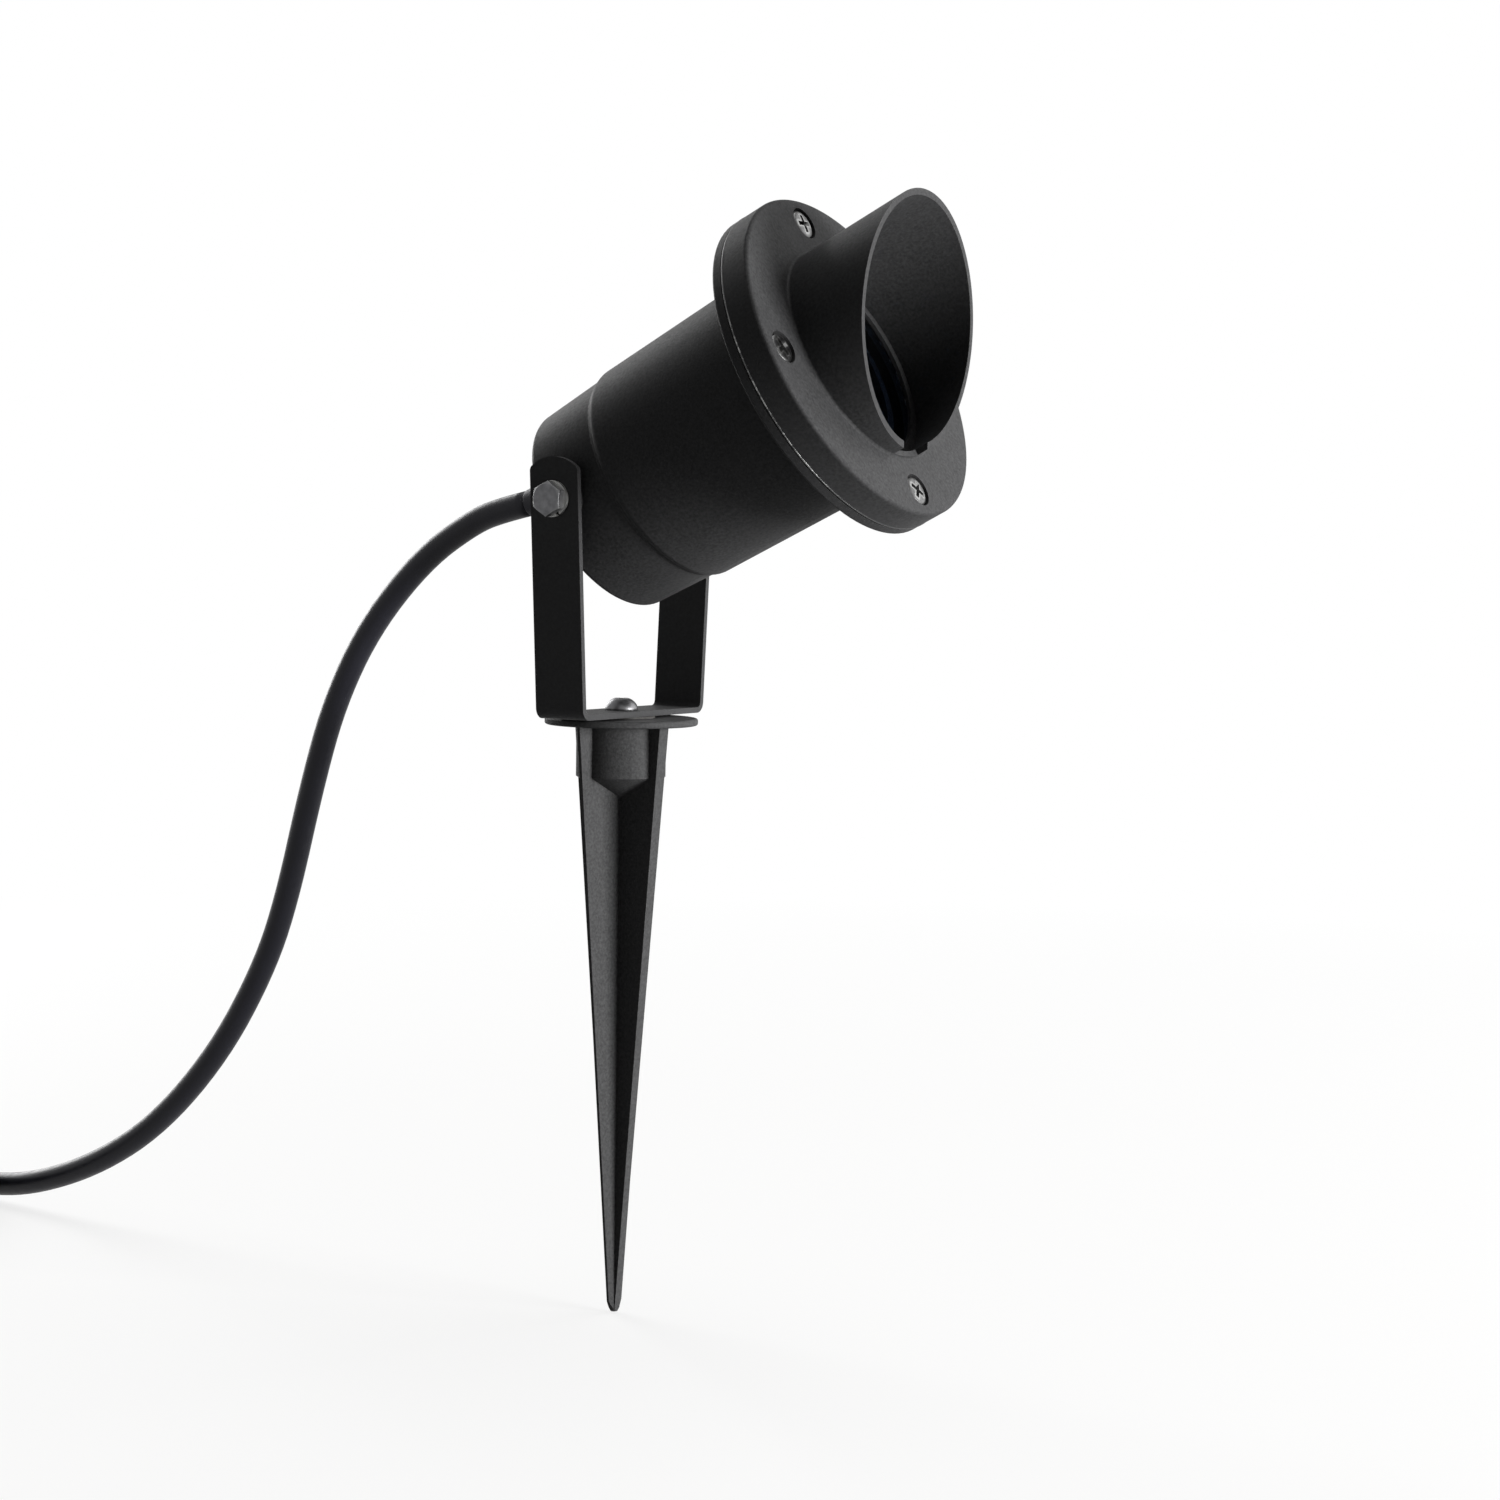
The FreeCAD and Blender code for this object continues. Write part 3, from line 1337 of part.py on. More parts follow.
def make_boot_and_inlet():
    """The bend relief, a tapered sleeve along a gentle arc, and the stretch of cable inside it."""
    shares = [i / (BOOT_SECTIONS - 1) for i in range(BOOT_SECTIONS)]
    root, tip = size("boot_root_radius"), size("boot_tip_radius")
    sections = []
    for share in shares:
        point, direction = boot_station(share)
        radius = root + (tip - root) * share
        sections.append(Part.Wire(Part.makeCircle(radius, point, direction)))
    sleeve = Part.makeLoft(sections, True, False)
    start, _ = boot_station(0.0)
    halfway, _ = boot_station(0.5)
    mouth, _ = boot_station(1.0)
    arc = Part.Arc(start, halfway, mouth).toShape()
    sleeve = sleeve.cut(tube([arc], size("cable_radius") + size("cable_gap")))
    on_lamp_fixed(feature("gland_boot_sleeve", sleeve), "gland_boot")
    inside_end = Vector(size("inlet_length"), 0, size("gland_rise"))
    edges = [Part.LineSegment(inside_end, start).toShape(), arc]
    inlet = tube(edges, size("cable_radius"))
    report_tube("cable_inlet", inlet, edges, size("cable_radius"))
    on_lamp_fixed(feature("cable_inlet_sheath", inlet), "cable_inlet")


# ---- free lead: neck, lead, coil, tie, plug ----


def coil_height(turned):
    """Middle of the cable above the floor after a number of turns: it climbs a layer in half a turn."""
    floor = size("cable_radius") + size("tie_thickness")
    climb = min(max((turned - size("coil_turns_in")) / 0.5, 0.0), 1.0)
    eased = climb * climb * (3 - 2 * climb)
    return floor + size("coil_pitch") * eased


def coil_reach(turned):
    """Distance from the coil's middle: steadily in, then steadily out from halfway up the climb."""
    innermost = size("coil_turns_in") + 0.25
    inward = min(turned, innermost)
    outward = max(turned - innermost, 0.0)
    return size("coil_radius") - size("coil_pitch") * (inward - outward)


def coil_point(turned):
    angle = math.radians(FLAT_TURN) + 2 * math.pi * turned
    reach = coil_reach(turned)
    x = size("coil_x") + reach * math.cos(angle)
    y = size("coil_y") + reach * math.sin(angle)
    return Vector(x, y, coil_height(turned))


def coil_turns():
    return size("coil_turns_in") + 0.5 + size("coil_turns_out")


def coil_direction(turned):
    step = 0.002
    low, high = max(turned - step, 0.0), min(turned + step, coil_turns())
    return (coil_point(high) - coil_point(low)).normalize()


def coil_edges():
    """Biarcs of a quarter turn along the whole coil, with a straight diameter at each end."""
    quarters = round(coil_turns() * 4)
    steps = [i / 4 for i in range(quarters + 1)]
    points = [coil_point(turned) for turned in steps]
    ways = [coil_direction(turned) for turned in steps]
    for i in (0, -1):
        ways[i] = Vector(ways[i].x, ways[i].y, 0).normalize()
    edges = []
    for i in range(quarters):
        edges += biarc(points[i], ways[i], points[i + 1], ways[i + 1])
    straight = 2 * size("cable_radius")
    lead_in = Part.LineSegment(points[0] - ways[0] * straight, points[0]).toShape()
    lead_out = Part.LineSegment(points[-1], points[-1] + ways[-1] * straight).toShape()
    ends = (points[0] - ways[0] * straight, ways[0], points[-1] + ways[-1] * straight, ways[-1])
    return [lead_in] + edges + [lead_out], ends


def least_gap(edges):
    """Least distance between two stretches of one tube, measured on points along its middle."""
    step = size("cable_radius") / 2
    points = []
    for edge in edges:
        count = max(2, math.ceil(edge.Length / step))
        points += edge.discretize(count)[:-1]
    apart = math.ceil(6 * size("cable_radius") / step) * 2
    least = min(
        (points[i] - points[j]).Length for i in range(len(points)) for j in range(i + apart, len(points))
    )
    return least - 2 * size("cable_radius")


def make_lead():
    """The neck, the lead, the coil and the tail. Returns the frame of the plug at the end."""
    radius = size("cable_radius")
    placement = lamp_placement()
    mouth, direction = boot_station(1.0)
    exit_point = placement.multVec(mouth)
    leaving = placement.Rotation.multVec(direction)
    slope = math.degrees(math.atan2(-leaving.z, -leaving.x))
    print(f"lead leaves at {exit_point.x:.1f}, {exit_point.z:.1f}, sloping {slope:.1f} degrees")
    edges, ends = coil_edges()
    coil = tube(edges, radius)
    node(feature("cable_coil_tube", coil), "cable_coil")
    report_tube("cable_coil", coil, edges, radius)
    print(f"cable_coil: least gap to itself {least_gap(edges):.2f}")
    coil_start, into, coil_end, out = ends

    first, last = LEAD_ENDS
    route = [exit_point, exit_point + leaving * first, *LEAD_ROUTE, coil_start - into * last, coil_start]
    whole, radii = rounded_route(route)
    print(f"lead: arc radii {', '.join(f'{r:.0f}' for r in radii)}")
    neck_edges = whole[: 2 * NECK_CORNERS + 1]
    split = neck_edges.pop()
    cut_at = split.valueAt((split.FirstParameter + split.LastParameter) / 2)
    neck_edges.append(Part.LineSegment(split.Vertexes[0].Point, cut_at).toShape())
    lead_edges = [Part.LineSegment(cut_at, split.Vertexes[-1].Point).toShape()]
    lead_edges += whole[2 * NECK_CORNERS + 1 :]
    for name, part_edges in (("cable_neck", neck_edges), ("cable_lead", lead_edges)):
        shape = tube(part_edges, radius)
        report_tube(name, shape, part_edges, radius)
        node(feature(f"{name}_tube", shape), name)

    tail_points = tail_route(coil_end, out)
    tail_edges, tail_radii = rounded_route(tail_points)
    tail = tube(tail_edges, radius)
    report_tube("cable_tail", tail, tail_edges, radius, tail_radii)
    node(feature("cable_tail_tube", tail), "cable_tail")
    total = sum(length_of(part) for part in (neck_edges, lead_edges, edges, tail_edges))
    print(f"free cable in all: {total:.0f}")
    return plug_frame(tail_points[-1], out)


def plug_direction(out):
    """The plug carries on the way the coil ends, with its pins tilted up."""
    tilt = math.radians(size("plug_tilt"))
    return out * math.cos(tilt) + Vector(0, 0, math.sin(tilt))


def tail_route(coil_end, out):
    """From the coil's top turn to the plug's bend relief."""
    corner = coil_end + out * size("tail_straight")
    return [coil_end, corner, corner + plug_direction(out) * size("tail_into_plug")]


def plug_frame(start, out):
    """The plug's frame: origin where its bend relief begins, +X towards the pins."""
    turn = Rotation(Vector(0, 0, 1), math.degrees(math.atan2(out.y, out.x)))
    return Placement(start, turn * Rotation(Vector(0, 1, 0), -size("plug_tilt")))


def make_plug(frame):
    """The plug's pieces, drawn along +X and put into the plug's frame."""

    def on_plug(obj, name):
        obj.Placement = frame
        node(obj, name)

    body = turned_body(
        "plug_body_turned",
        [
            ("dims.plug_boot_length", "0"),
            ("dims.plug_boot_length", "dims.plug_neck_radius - dims.plug_edge"),
            ("dims.plug_boot_length + dims.plug_edge", "dims.plug_neck_radius"),
            ("dims.plug_boot_length + dims.plug_waist", "dims.plug_waist_radius"),
            (f"{PLUG_SHOULDER} - dims.plug_shoulder", "dims.plug_shoulder_radius"),
            (PLUG_SHOULDER, "dims.plug_radius"),
            (f"{PLUG_FRONT} - dims.plug_edge", "dims.plug_radius"),
            (PLUG_FRONT, "dims.plug_radius - dims.plug_edge"),
            (PLUG_FRONT, "0"),
        ],
    )
    pins, clips, grooves = [], [], []
    inner = size("plug_radius") - size("clip_groove_depth")
    rear = size("plug_boot_length") + size("plug_length") - size("plug_face_length")
    thick, wide = size("clip_thickness"), size("clip_width")
    for side, sign in (("left", "-"), ("right", "")):
        pins.append(
            cylinder(
                f"plug_pin_{side}",
                "dims.plug_pin_radius",
                "dims.plug_pin_length",
                x=PLUG_FRONT,
                y=f"{sign}dims.plug_pin_spacing / 2",
            )
        )
        outside = "-dims.plug_radius - dims.tool_over"
        inside = "dims.plug_radius - dims.clip_groove_depth"
        grooves.append(
            box(
                f"plug_side_groove_{side}",
                (
                    f"{PLUG_SHOULDER} - dims.tool_over",
                    outside if sign else inside,
                    "-dims.clip_width / 2 - dims.clip_groove_gap",
                ),
                (
                    "dims.plug_face_length + 2 * dims.tool_over",
                    "dims.clip_groove_depth + dims.tool_over",
                    "dims.clip_width + 2 * dims.clip_groove_gap",
                ),
            )
        )
        low = Vector(rear, -inner - thick if sign else inner, -wide / 2)
        clips.append(Part.makeBox(size("plug_face_length"), thick, wide, low))
    on_plug(cut("plug_body_cut", body, *grooves), "plug_body")
    on_plug(group("plug_pin_group", pins), "plug_pins")
    on_plug(feature("plug_clip_pair", Part.makeCompound(clips)), "plug_clips")
    sleeve = cone(
        "plug_boot_cone", "dims.plug_boot_tip_radius", "dims.plug_boot_root_radius", "dims.plug_boot_length"
    )
    on_plug(group("plug_boot_piece", [sleeve]), "plug_boot")


def make_tie():
    """A flat band round all the coil's turns, on the side away from the light's floor."""
    gap, thick, wide = size("tie_gap"), size("tie_thickness"), size("tie_width")
    cable = size("cable_radius")
    passes = [0.5 + turn for turn in range(int(coil_turns() + 0.5))]
    reaches = [coil_reach(turned) for turned in passes]
    outer = max(reaches) + cable + gap
    inner = min(reaches) - cable - gap
    high = thick + 2 * cable + size("coil_pitch") + gap
    corner = size("tie_corner")
    band = tie_block(inner - thick, outer + thick, 0.0, high + thick, wide, corner + thick)
    room = tie_block(inner, outer, thick, high, wide, corner)
    obj = feature("coil_tie_band", band.cut(room))
    turn = Rotation(Vector(0, 0, 1), 3 * FLAT_TURN)
    obj.Placement = Placement(Vector(size("coil_x"), size("coil_y"), 0), turn)
    node(obj, "coil_tie")


def tie_block(inner, outer, low, high, wide, corner):
    """A block across the coil's turns with its four long edges rounded."""
    block = Part.makeBox(outer - inner, wide, high - low, Vector(inner, -wide / 2, low))
    edges = [e for e in block.Edges if abs(e.BoundBox.YLength - wide) < SAME]
    return block.makeFillet(corner, edges)


def check_and_write():
    """Stops on any failed object or bad shape, then writes one file for each sub-part."""
    doc.recompute()
    bad = [o.Name for o in doc.Objects if "Invalid" in o.State or "Error" in o.State]
    if bad:
        raise RuntimeError(f"failed objects: {bad}")
    for obj in nodes:
        if obj.Shape.isNull() or not obj.Shape.isValid():
            raise RuntimeError(f"bad shape: {obj.Label}")
    for obj in nodes:
        obj.Shape.exportStep(os.path.join("parts", f"{obj.Label}.step"))
        room = obj.Shape.BoundBox
        print(
            f"{obj.Label}: {len(obj.Shape.Solids)} solid(s), {obj.Shape.Volume:.0f} mm3, "
            f"x {room.XMin:.1f}..{room.XMax:.1f} y {room.YMin:.1f}..{room.YMax:.1f} "
            f"z {room.ZMin:.1f}..{room.ZMax:.1f}"
        )


make_spike()
make_base_hardware()
make_bracket_ends(make_bracket())
make_housing()
make_bezel()
make_glass_and_seals()
make_bezel_screws()
make_pivot_hardware()
make_lamp()
make_holder_bar()
make_terminal_block()
make_cores()
make_earth()
make_gland()
make_boot_and_inlet()
plug_place = make_lead()
make_tie()
make_plug(plug_place)
check_and_write()
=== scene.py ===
"""Looks of the garden spike spotlight: camera, mains lead, materials and fine detail, in metres."""

import math

import bmesh
import bpy
from mathutils import Matrix, Vector

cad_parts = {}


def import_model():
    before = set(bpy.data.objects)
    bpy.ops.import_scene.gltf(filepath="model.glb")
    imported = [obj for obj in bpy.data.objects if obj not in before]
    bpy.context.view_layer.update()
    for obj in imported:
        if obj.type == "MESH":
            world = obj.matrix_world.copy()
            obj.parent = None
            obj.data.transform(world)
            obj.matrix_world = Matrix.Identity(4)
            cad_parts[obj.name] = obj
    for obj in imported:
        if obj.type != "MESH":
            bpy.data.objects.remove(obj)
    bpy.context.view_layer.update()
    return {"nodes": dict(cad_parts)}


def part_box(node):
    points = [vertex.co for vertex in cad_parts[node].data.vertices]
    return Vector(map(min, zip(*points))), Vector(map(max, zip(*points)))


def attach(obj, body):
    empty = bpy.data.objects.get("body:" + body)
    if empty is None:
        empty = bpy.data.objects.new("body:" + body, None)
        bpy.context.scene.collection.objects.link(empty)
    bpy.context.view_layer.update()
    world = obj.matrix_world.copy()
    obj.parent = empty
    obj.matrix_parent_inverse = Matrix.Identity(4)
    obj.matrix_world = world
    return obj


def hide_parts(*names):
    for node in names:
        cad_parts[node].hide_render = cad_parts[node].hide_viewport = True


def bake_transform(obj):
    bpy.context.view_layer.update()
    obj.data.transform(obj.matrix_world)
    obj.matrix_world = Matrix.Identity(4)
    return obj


MM = 0.001
FULL_TURN = 2 * math.pi

# ---- camera, as the photograph was taken: metres, and millimetres for the lens ----
CAMERA_PLACE = Vector((0.47575, -0.71012, 0.21072))
CAMERA_FORWARD = Vector((-0.5214, 0.8506, -0.0678))
CAMERA_UP = Vector((-0.0486, 0.0497, 0.9976))
CAMERA_LENS = 76.8
CAMERA_SENSOR = 36.0

# ---- the mains lead, in metres ----
CABLE_RADIUS = 3.5 * MM
LEAD_EXIT = Vector((-30.4, 0.0, 217.8)) * MM

# ---- its route, in millimetres: a free run, a coil in two layers and a tail up to the plug ----
LEAD_ROUTE = [
    (-40.2, 0.0, 215.7),
    (-49.4, 0.0, 212.6),
    (-66.6, 0.0, 202.2),
    (-85.0, 0.0, 183.1),
    (-97.4, 0.0, 161.8),
    (-105.5, 0.0, 138.0),
    (-115.1, 0.0, 102.3),
    (-123.8, 0.0, 81.7),
    (-140.2, 0.3, 56.5),
    (-163.7, 1.0, 33.0),
    (-188.6, 2.2, 18.1),
    (-215.5, 4.0, 8.3),
    (-240.0, 7.3, 4.3),
]
COIL_CENTRE = (-269.0, -38.7)
COIL_RADIUS = 45.0
COIL_PITCH = 7.7
COIL_FLOOR = 4.3
COIL_TURNS_IN = 2.0
COIL_TURNS = 5.0
COIL_CLIMB = 0.5
COIL_START = math.radians(90.0)
COIL_STEPS = 12
TAIL_ROUTE = [(-285.0, 10.7, 12.0), (-292.9, 10.9, 12.8)]

# ---- the lamp's frame: +X along the beam, +Z up from its axis ----
LAMP_REAR = Vector((-6.78, 0.0, 216.04)) * MM
LAMP_TILT = math.radians(27.0)
LAMP = Matrix.Translation(LAMP_REAR) @ Matrix.Rotation(-LAMP_TILT, 4, "Y")
PIVOT = Vector((0.0, 0.0, 218.6)) * MM

# ---- fasteners, in millimetres: profiles as (along, radius) from the underside of the head ----
BEZEL_SCREW_SEAT = 85.5
BEZEL_SCREW_CIRCLE = 38.0
BEZEL_SCREW_PROFILE = [
    (-9.6, 0.0), (-9.6, 1.6), (-9.2, 2.0), (0.0, 2.0), (0.0, 3.9), (0.1, 4.05), (0.7, 4.15), (1.3, 4.15),
    (1.7, 4.02), (2.0, 3.75), (2.2, 3.35), (2.3, 2.9), (2.36, 2.2), (2.4, 1.2), (2.4, 0.0),
]
BEZEL_RECESS = {"top": 2.2, "long_side": 5.0, "wide": 1.15, "deep": 1.5}
BASE_SCREW_PROFILE = [
    (-14.0, 0.0), (-14.0, 2.0), (-13.5, 2.5), (0.0, 2.5), (0.0, 4.3), (0.15, 4.38), (0.7, 4.35),
    (1.4, 4.1), (2.1, 3.6), (2.7, 2.9), (3.05, 2.3), (3.2, 1.8), (3.2, 0.0),
]
BASE_HEAD_HEIGHT = 3.2
BASE_RECESS = {"top": BASE_HEAD_HEIGHT, "long_side": 4.4, "wide": 1.1, "deep": 1.8}
RECESS_ABOVE = 0.5
SCREW_EDGE_ROUND = 0.06
HEX_SEAT = 33.65
HEX_HEIGHT = 2.7
HEX_ACROSS = 8.0
HEX_CORNER = HEX_ACROSS / math.sqrt(3)
HEX_FACE = 3.75
HEX_CHAMFER = math.tan(math.radians(30.0))
HEX_DISH = 0.12
HEX_DISH_RIM = 0.5
HEX_EDGE_ROUND = 0.1
BOLT_RADIUS = 2.5
BOLT_LENGTH = 13.75
BOLT_CHAMFER = 0.5
CUT_MARGIN = 0.5
CUT_START = -1.0

# ---- how each bezel screw is turned, in radians, and on which side it sits: (turn, (y, z)) ----
BEZEL_SCREWS = [(0.0, (0, 1)), (0.4, (-1, 0)), (0.9, (0, -1)), (0.2, (1, 0))]
BASE_SCREW_TURN = 0.5

# ---- a cross recess, as shares of its size: at its mouth, at its floor, and how much the arms narrow ----
RECESS_MOUTH = 1.1
RECESS_FLOOR = 0.5
RECESS_TAPER = 0.4

# ---- rings on the housing, in millimetres in the lamp's frame: sections as (along, radius) ----
STEP_SECTION = [
    (21.2, 29.55), (21.8, 29.66), (22.3, 29.88), (22.8, 30.14), (23.2, 30.32), (23.7, 30.46), (24.3, 30.54),
    (23.6, 29.4), (21.8, 29.2),
]
SEAM_SECTION = [(79.76, 44.4), (79.68, 44.7), (79.7, 45.0), (79.84, 45.07), (80.06, 45.06), (80.16, 44.9)]

# ---- the stretch of the bezel's edge that is worn, in metres ----
WORN_PLACE = (0.070, -0.0433, 0.241)
WORN_REACH = 0.034

# ---- bend relief, in millimetres in the lamp's frame; its ribbed part is given in shares of its length ----
BOOT_START = (-3.8, 10.1)
BOOT_LENGTH = 16.6
BOOT_TURN = math.radians(15.0)
BOOT_ROOT = 6.2
BOOT_TIP = 3.7
BOOT_RIBS = 5
BOOT_RIBBED = (0.12, 0.78)
BOOT_GROOVE = 0.55
BOOT_STEPS = 90

# ---- where the plug lies ----
PLUG_START = Vector((-292.94, 10.90, 12.82)) * MM
PLUG_HEADING = math.radians(178.203)
PLUG_TILT = math.radians(5.9)

# ---- the plug's detail, in millimetres in its own frame, +X towards the pins ----
PLUG_GRIP = [(32.0, 10.0), (35.5, 10.6), (39.0, 11.2)]
PLUG_GRIP_RING = [(-1.1, -0.25), (-0.7, 0.35), (0.0, 0.6), (0.7, 0.35), (1.1, -0.25)]
PLUG_GRIP_DEPTH = 2.0
PLUG_BOOT_LENGTH = 28.0
PLUG_BOOT_TIP = 4.7
PLUG_BOOT_ROOT = 7.5
PLUG_BOOT_RIBS = 7
PLUG_BOOT_RIBBED = (0.0, 0.93)
PLUG_BOOT_GROOVE = 0.5
PLUG_BOOT_STEPS = 80

# ---- edges, and how finely round pieces are divided ----
SHARP_ANGLE = math.radians(32.0)
SAME_POINT = 0.001
CORD_SIDES = 20
SLEEVE_SIDES = 40
SCREW_SIDES = 48
HEX_SIDES = 6
GRIP_SIDES = 96
STEP_SIDES = 128
SEAM_SIDES = 192

# ---- light, in metres and watts: name, place, width, height, power ----
LIT_POINT = (0.02, 0.0, 0.17)
LIGHTS = [
    ("right", (1.54, 0.16, 0.22), 0.7, 0.42, 50.0),
    ("back_right", (0.95, 1.15, 0.75), 1.3, 1.3, 14.0),
    ("top", (0.2, 0.35, 1.7), 0.9, 0.9, 9.0),
    ("back_left", (-1.35, 0.55, 0.7), 0.8, 1.0, 14.0),
]
FILL_LIGHT = 0.02
FLOOR_COLOUR = (0.82, 0.82, 0.81, 1)
FLOOR_BOUNCE = (0.22, 0.22, 0.22, 1)
FLOOR_HALF = 6.0
FLOOR_DROP = 0.0004
FLOOR_WHITE = 0.74
FLOOR_NEAR = 0.36
FLOOR_FAR = 1.0

# ---- colours, linear ----
WHITE = (1, 1, 1, 1)
COAT = (0.023, 0.023, 0.0235, 1)
CAST_COAT = (0.031, 0.031, 0.0315, 1)
# paler coat for outer edges: wear together with a painted edge highlight
COAT_WEAR_AND_EDGE_HIGHLIGHT = (0.045, 0.045, 0.046, 1)
BARE_METAL = (0.20, 0.20, 0.196, 1)
COAT_GLOSS = 0.05
RUBBER = (0.0085, 0.0085, 0.0125, 1)
RUBBER_GLOSS = 0.2
ZINC = (0.075, 0.075, 0.075, 1)
# brighter zinc on the rims of the heads: a painted highlight
ZINC_RIM_HIGHLIGHT = (0.17, 0.17, 0.168, 1)
PALE_ZINC = (0.12, 0.12, 0.125, 1)
# brighter pale zinc on the rims of the heads: a painted highlight
PALE_ZINC_RIM_HIGHLIGHT = (0.36, 0.36, 0.35, 1)
BRASS_PLATED = (0.62, 0.60, 0.55, 1)
NYLON = (0.012, 0.012, 0.013, 1)
NYLON_PALE = (0.02, 0.02, 0.021, 1)
WHITE_PLASTIC = (0.72, 0.72, 0.69, 1)
CERAMIC = (0.70, 0.66, 0.58, 1)
SEAL = (0.30, 0.30, 0.29, 1)
SILICONE = (0.36, 0.37, 0.37, 1)
FIBRE = (0.018, 0.016, 0.014, 1)
BROWN = (0.10, 0.035, 0.015, 1)
BLUE = (0.02, 0.08, 0.32, 1)
GREEN_YELLOW = (0.20, 0.36, 0.03, 1)
GLASS_TINT = (0.10, 0.13, 0.18, 1)
REFLECTOR = (0.20, 0.24, 0.28, 1)

# ---- sockets of a Mix node that mixes colours ----
MIX_FIRST = 6
MIX_SECOND = 7
MIX_RESULT = 2


# ---- materials ----


def shaded(colour, factor):
    """A colour made lighter or darker."""
    return tuple(factor * part for part in colour[:3]) + (1,)


class Look:
    """One procedural material, built up step by step round a Principled shader."""

    def __init__(self, name, colour, roughness, metallic=0.0):
        self.material = bpy.data.materials.new(name)
        self.material.use_nodes = True
        self.tree = self.material.node_tree
        self.shader = self.tree.nodes["Principled BSDF"]
        self.set("Base Color", colour)
        self.set("Roughness", roughness)
        self.set("Metallic", metallic)
        self.colour = colour
        self.normal = None

    def set(self, socket, value):
        self.shader.inputs[socket].default_value = value

    def add(self, kind, **values):
        node = self.tree.nodes.new(kind)
        for key, value in values.items():
            setattr(node, key, value)
        return node

    def link(self, source, target):
        self.tree.links.new(source, target)

    def place(self):
        return self.add("ShaderNodeTexCoord").outputs["Object"]

    def noise(self, scale, detail=2.0, roughness=0.5):
        texture = self.add("ShaderNodeTexNoise")
        texture.inputs["Scale"].default_value = scale
        texture.inputs["Detail"].default_value = detail
        texture.inputs["Roughness"].default_value = roughness
        self.link(self.place(), texture.inputs["Vector"])
        return texture.outputs["Fac"]

    def spread(self, value, low, high, source_low=0.3, source_high=0.7):
        """Maps the range source_low to source_high onto low to high."""
        ramp = self.add("ShaderNodeMapRange")
        ramp.inputs["From Min"].default_value = source_low
        ramp.inputs["From Max"].default_value = source_high
        ramp.inputs["To Min"].default_value = low
        ramp.inputs["To Max"].default_value = high
        self.link(value, ramp.inputs["Value"])
        return ramp.outputs["Result"]

    def rough(self, value, low, high):
        """Varies the roughness from low to high."""
        self.link(self.spread(value, low, high), self.shader.inputs["Roughness"])

    def mix_in(self, share, other):
        """Mixes another colour over the present one, by a share that varies over the surface."""
        mix = self.add("ShaderNodeMix", data_type="RGBA")
        mix.inputs[MIX_FIRST].default_value = self.colour
        mix.inputs[MIX_SECOND].default_value = other
        current = self.shader.inputs["Base Color"]
        if current.is_linked:
            self.link(current.links[0].from_socket, mix.inputs[MIX_FIRST])
        self.link(share, mix.inputs["Factor"])
        self.link(mix.outputs[MIX_RESULT], current)

    def tint(self, value, other, amount):
        """Mixes another colour in where the value is high."""
        self.mix_in(self.spread(value, 0.0, amount), other)

    def edges(self, other, amount, low=0.52, high=0.60):
        """Lightens outer edges: a painted edge highlight, which on the coats also stands for wear."""
        pointed = self.add("ShaderNodeNewGeometry").outputs["Pointiness"]
        self.mix_in(self.spread(pointed, 0.0, amount, low, high), other)

    def bump(self, value, strength, depth):
        """Adds relief over what the normal already has."""
        node = self.add("ShaderNodeBump")
        node.inputs["Strength"].default_value = strength
        node.inputs["Distance"].default_value = depth
        self.link(value, node.inputs["Height"])
        if self.normal:
            self.link(self.normal, node.inputs["Normal"])
        self.normal = node.outputs["Normal"]
        self.link(self.normal, self.shader.inputs["Normal"])


def powder_coat(name, colour=COAT, scale=1500.0, depth=0.06 * MM, strength=0.5, worn=0.35):
    """Matt speckled coat with faint blotches, soft waves and paler edges, which are wear together with a
    painted edge highlight.
    """
    look = Look(name, colour, roughness=0.5)
    grain = look.noise(scale, detail=3.0, roughness=0.55)
    speckle = look.noise(0.8 * scale, roughness=0.6)
    look.tint(look.noise(scale=140.0), shaded(colour, 1.25), amount=0.5)
    look.tint(speckle, shaded(colour, 2.4), amount=0.55)
    # paler edges: wear together with a painted edge highlight, as strong as worn says
    look.edges(COAT_WEAR_AND_EDGE_HIGHLIGHT, worn)
    look.rough(grain, low=0.50, high=0.64)
    look.bump(look.noise(scale=260.0), strength=0.10, depth=0.10 * MM)
    look.bump(grain, strength, depth)
    look.set("Specular IOR Level", COAT_GLOSS)
    return look.material


def cast_coat():
    """Powder coat over a rougher sand-blasted casting, as on the spike."""
    # worn sets the paler edges: wear together with a painted edge highlight
    return powder_coat("cast_coat", CAST_COAT, scale=1700.0, depth=0.09 * MM, strength=0.6, worn=0.45)


def rubber(name, colour=RUBBER, low=0.34, high=0.46):
    """Rubber with a faint sheen, soft blotches and a fine grain."""
    look = Look(name, colour, roughness=0.4)
    look.rough(look.noise(scale=420.0, detail=3.0), low, high)
    look.tint(look.noise(scale=55.0), shaded(colour, 1.7), amount=0.5)
    look.bump(look.noise(scale=2200.0), strength=0.10, depth=0.03 * MM)
    look.set("Specular IOR Level", RUBBER_GLOSS)
    return look.material


def moulded_rubber(name):
    """The duller rubber of the plug and the bend reliefs."""
    return rubber(name, low=0.42, high=0.55)


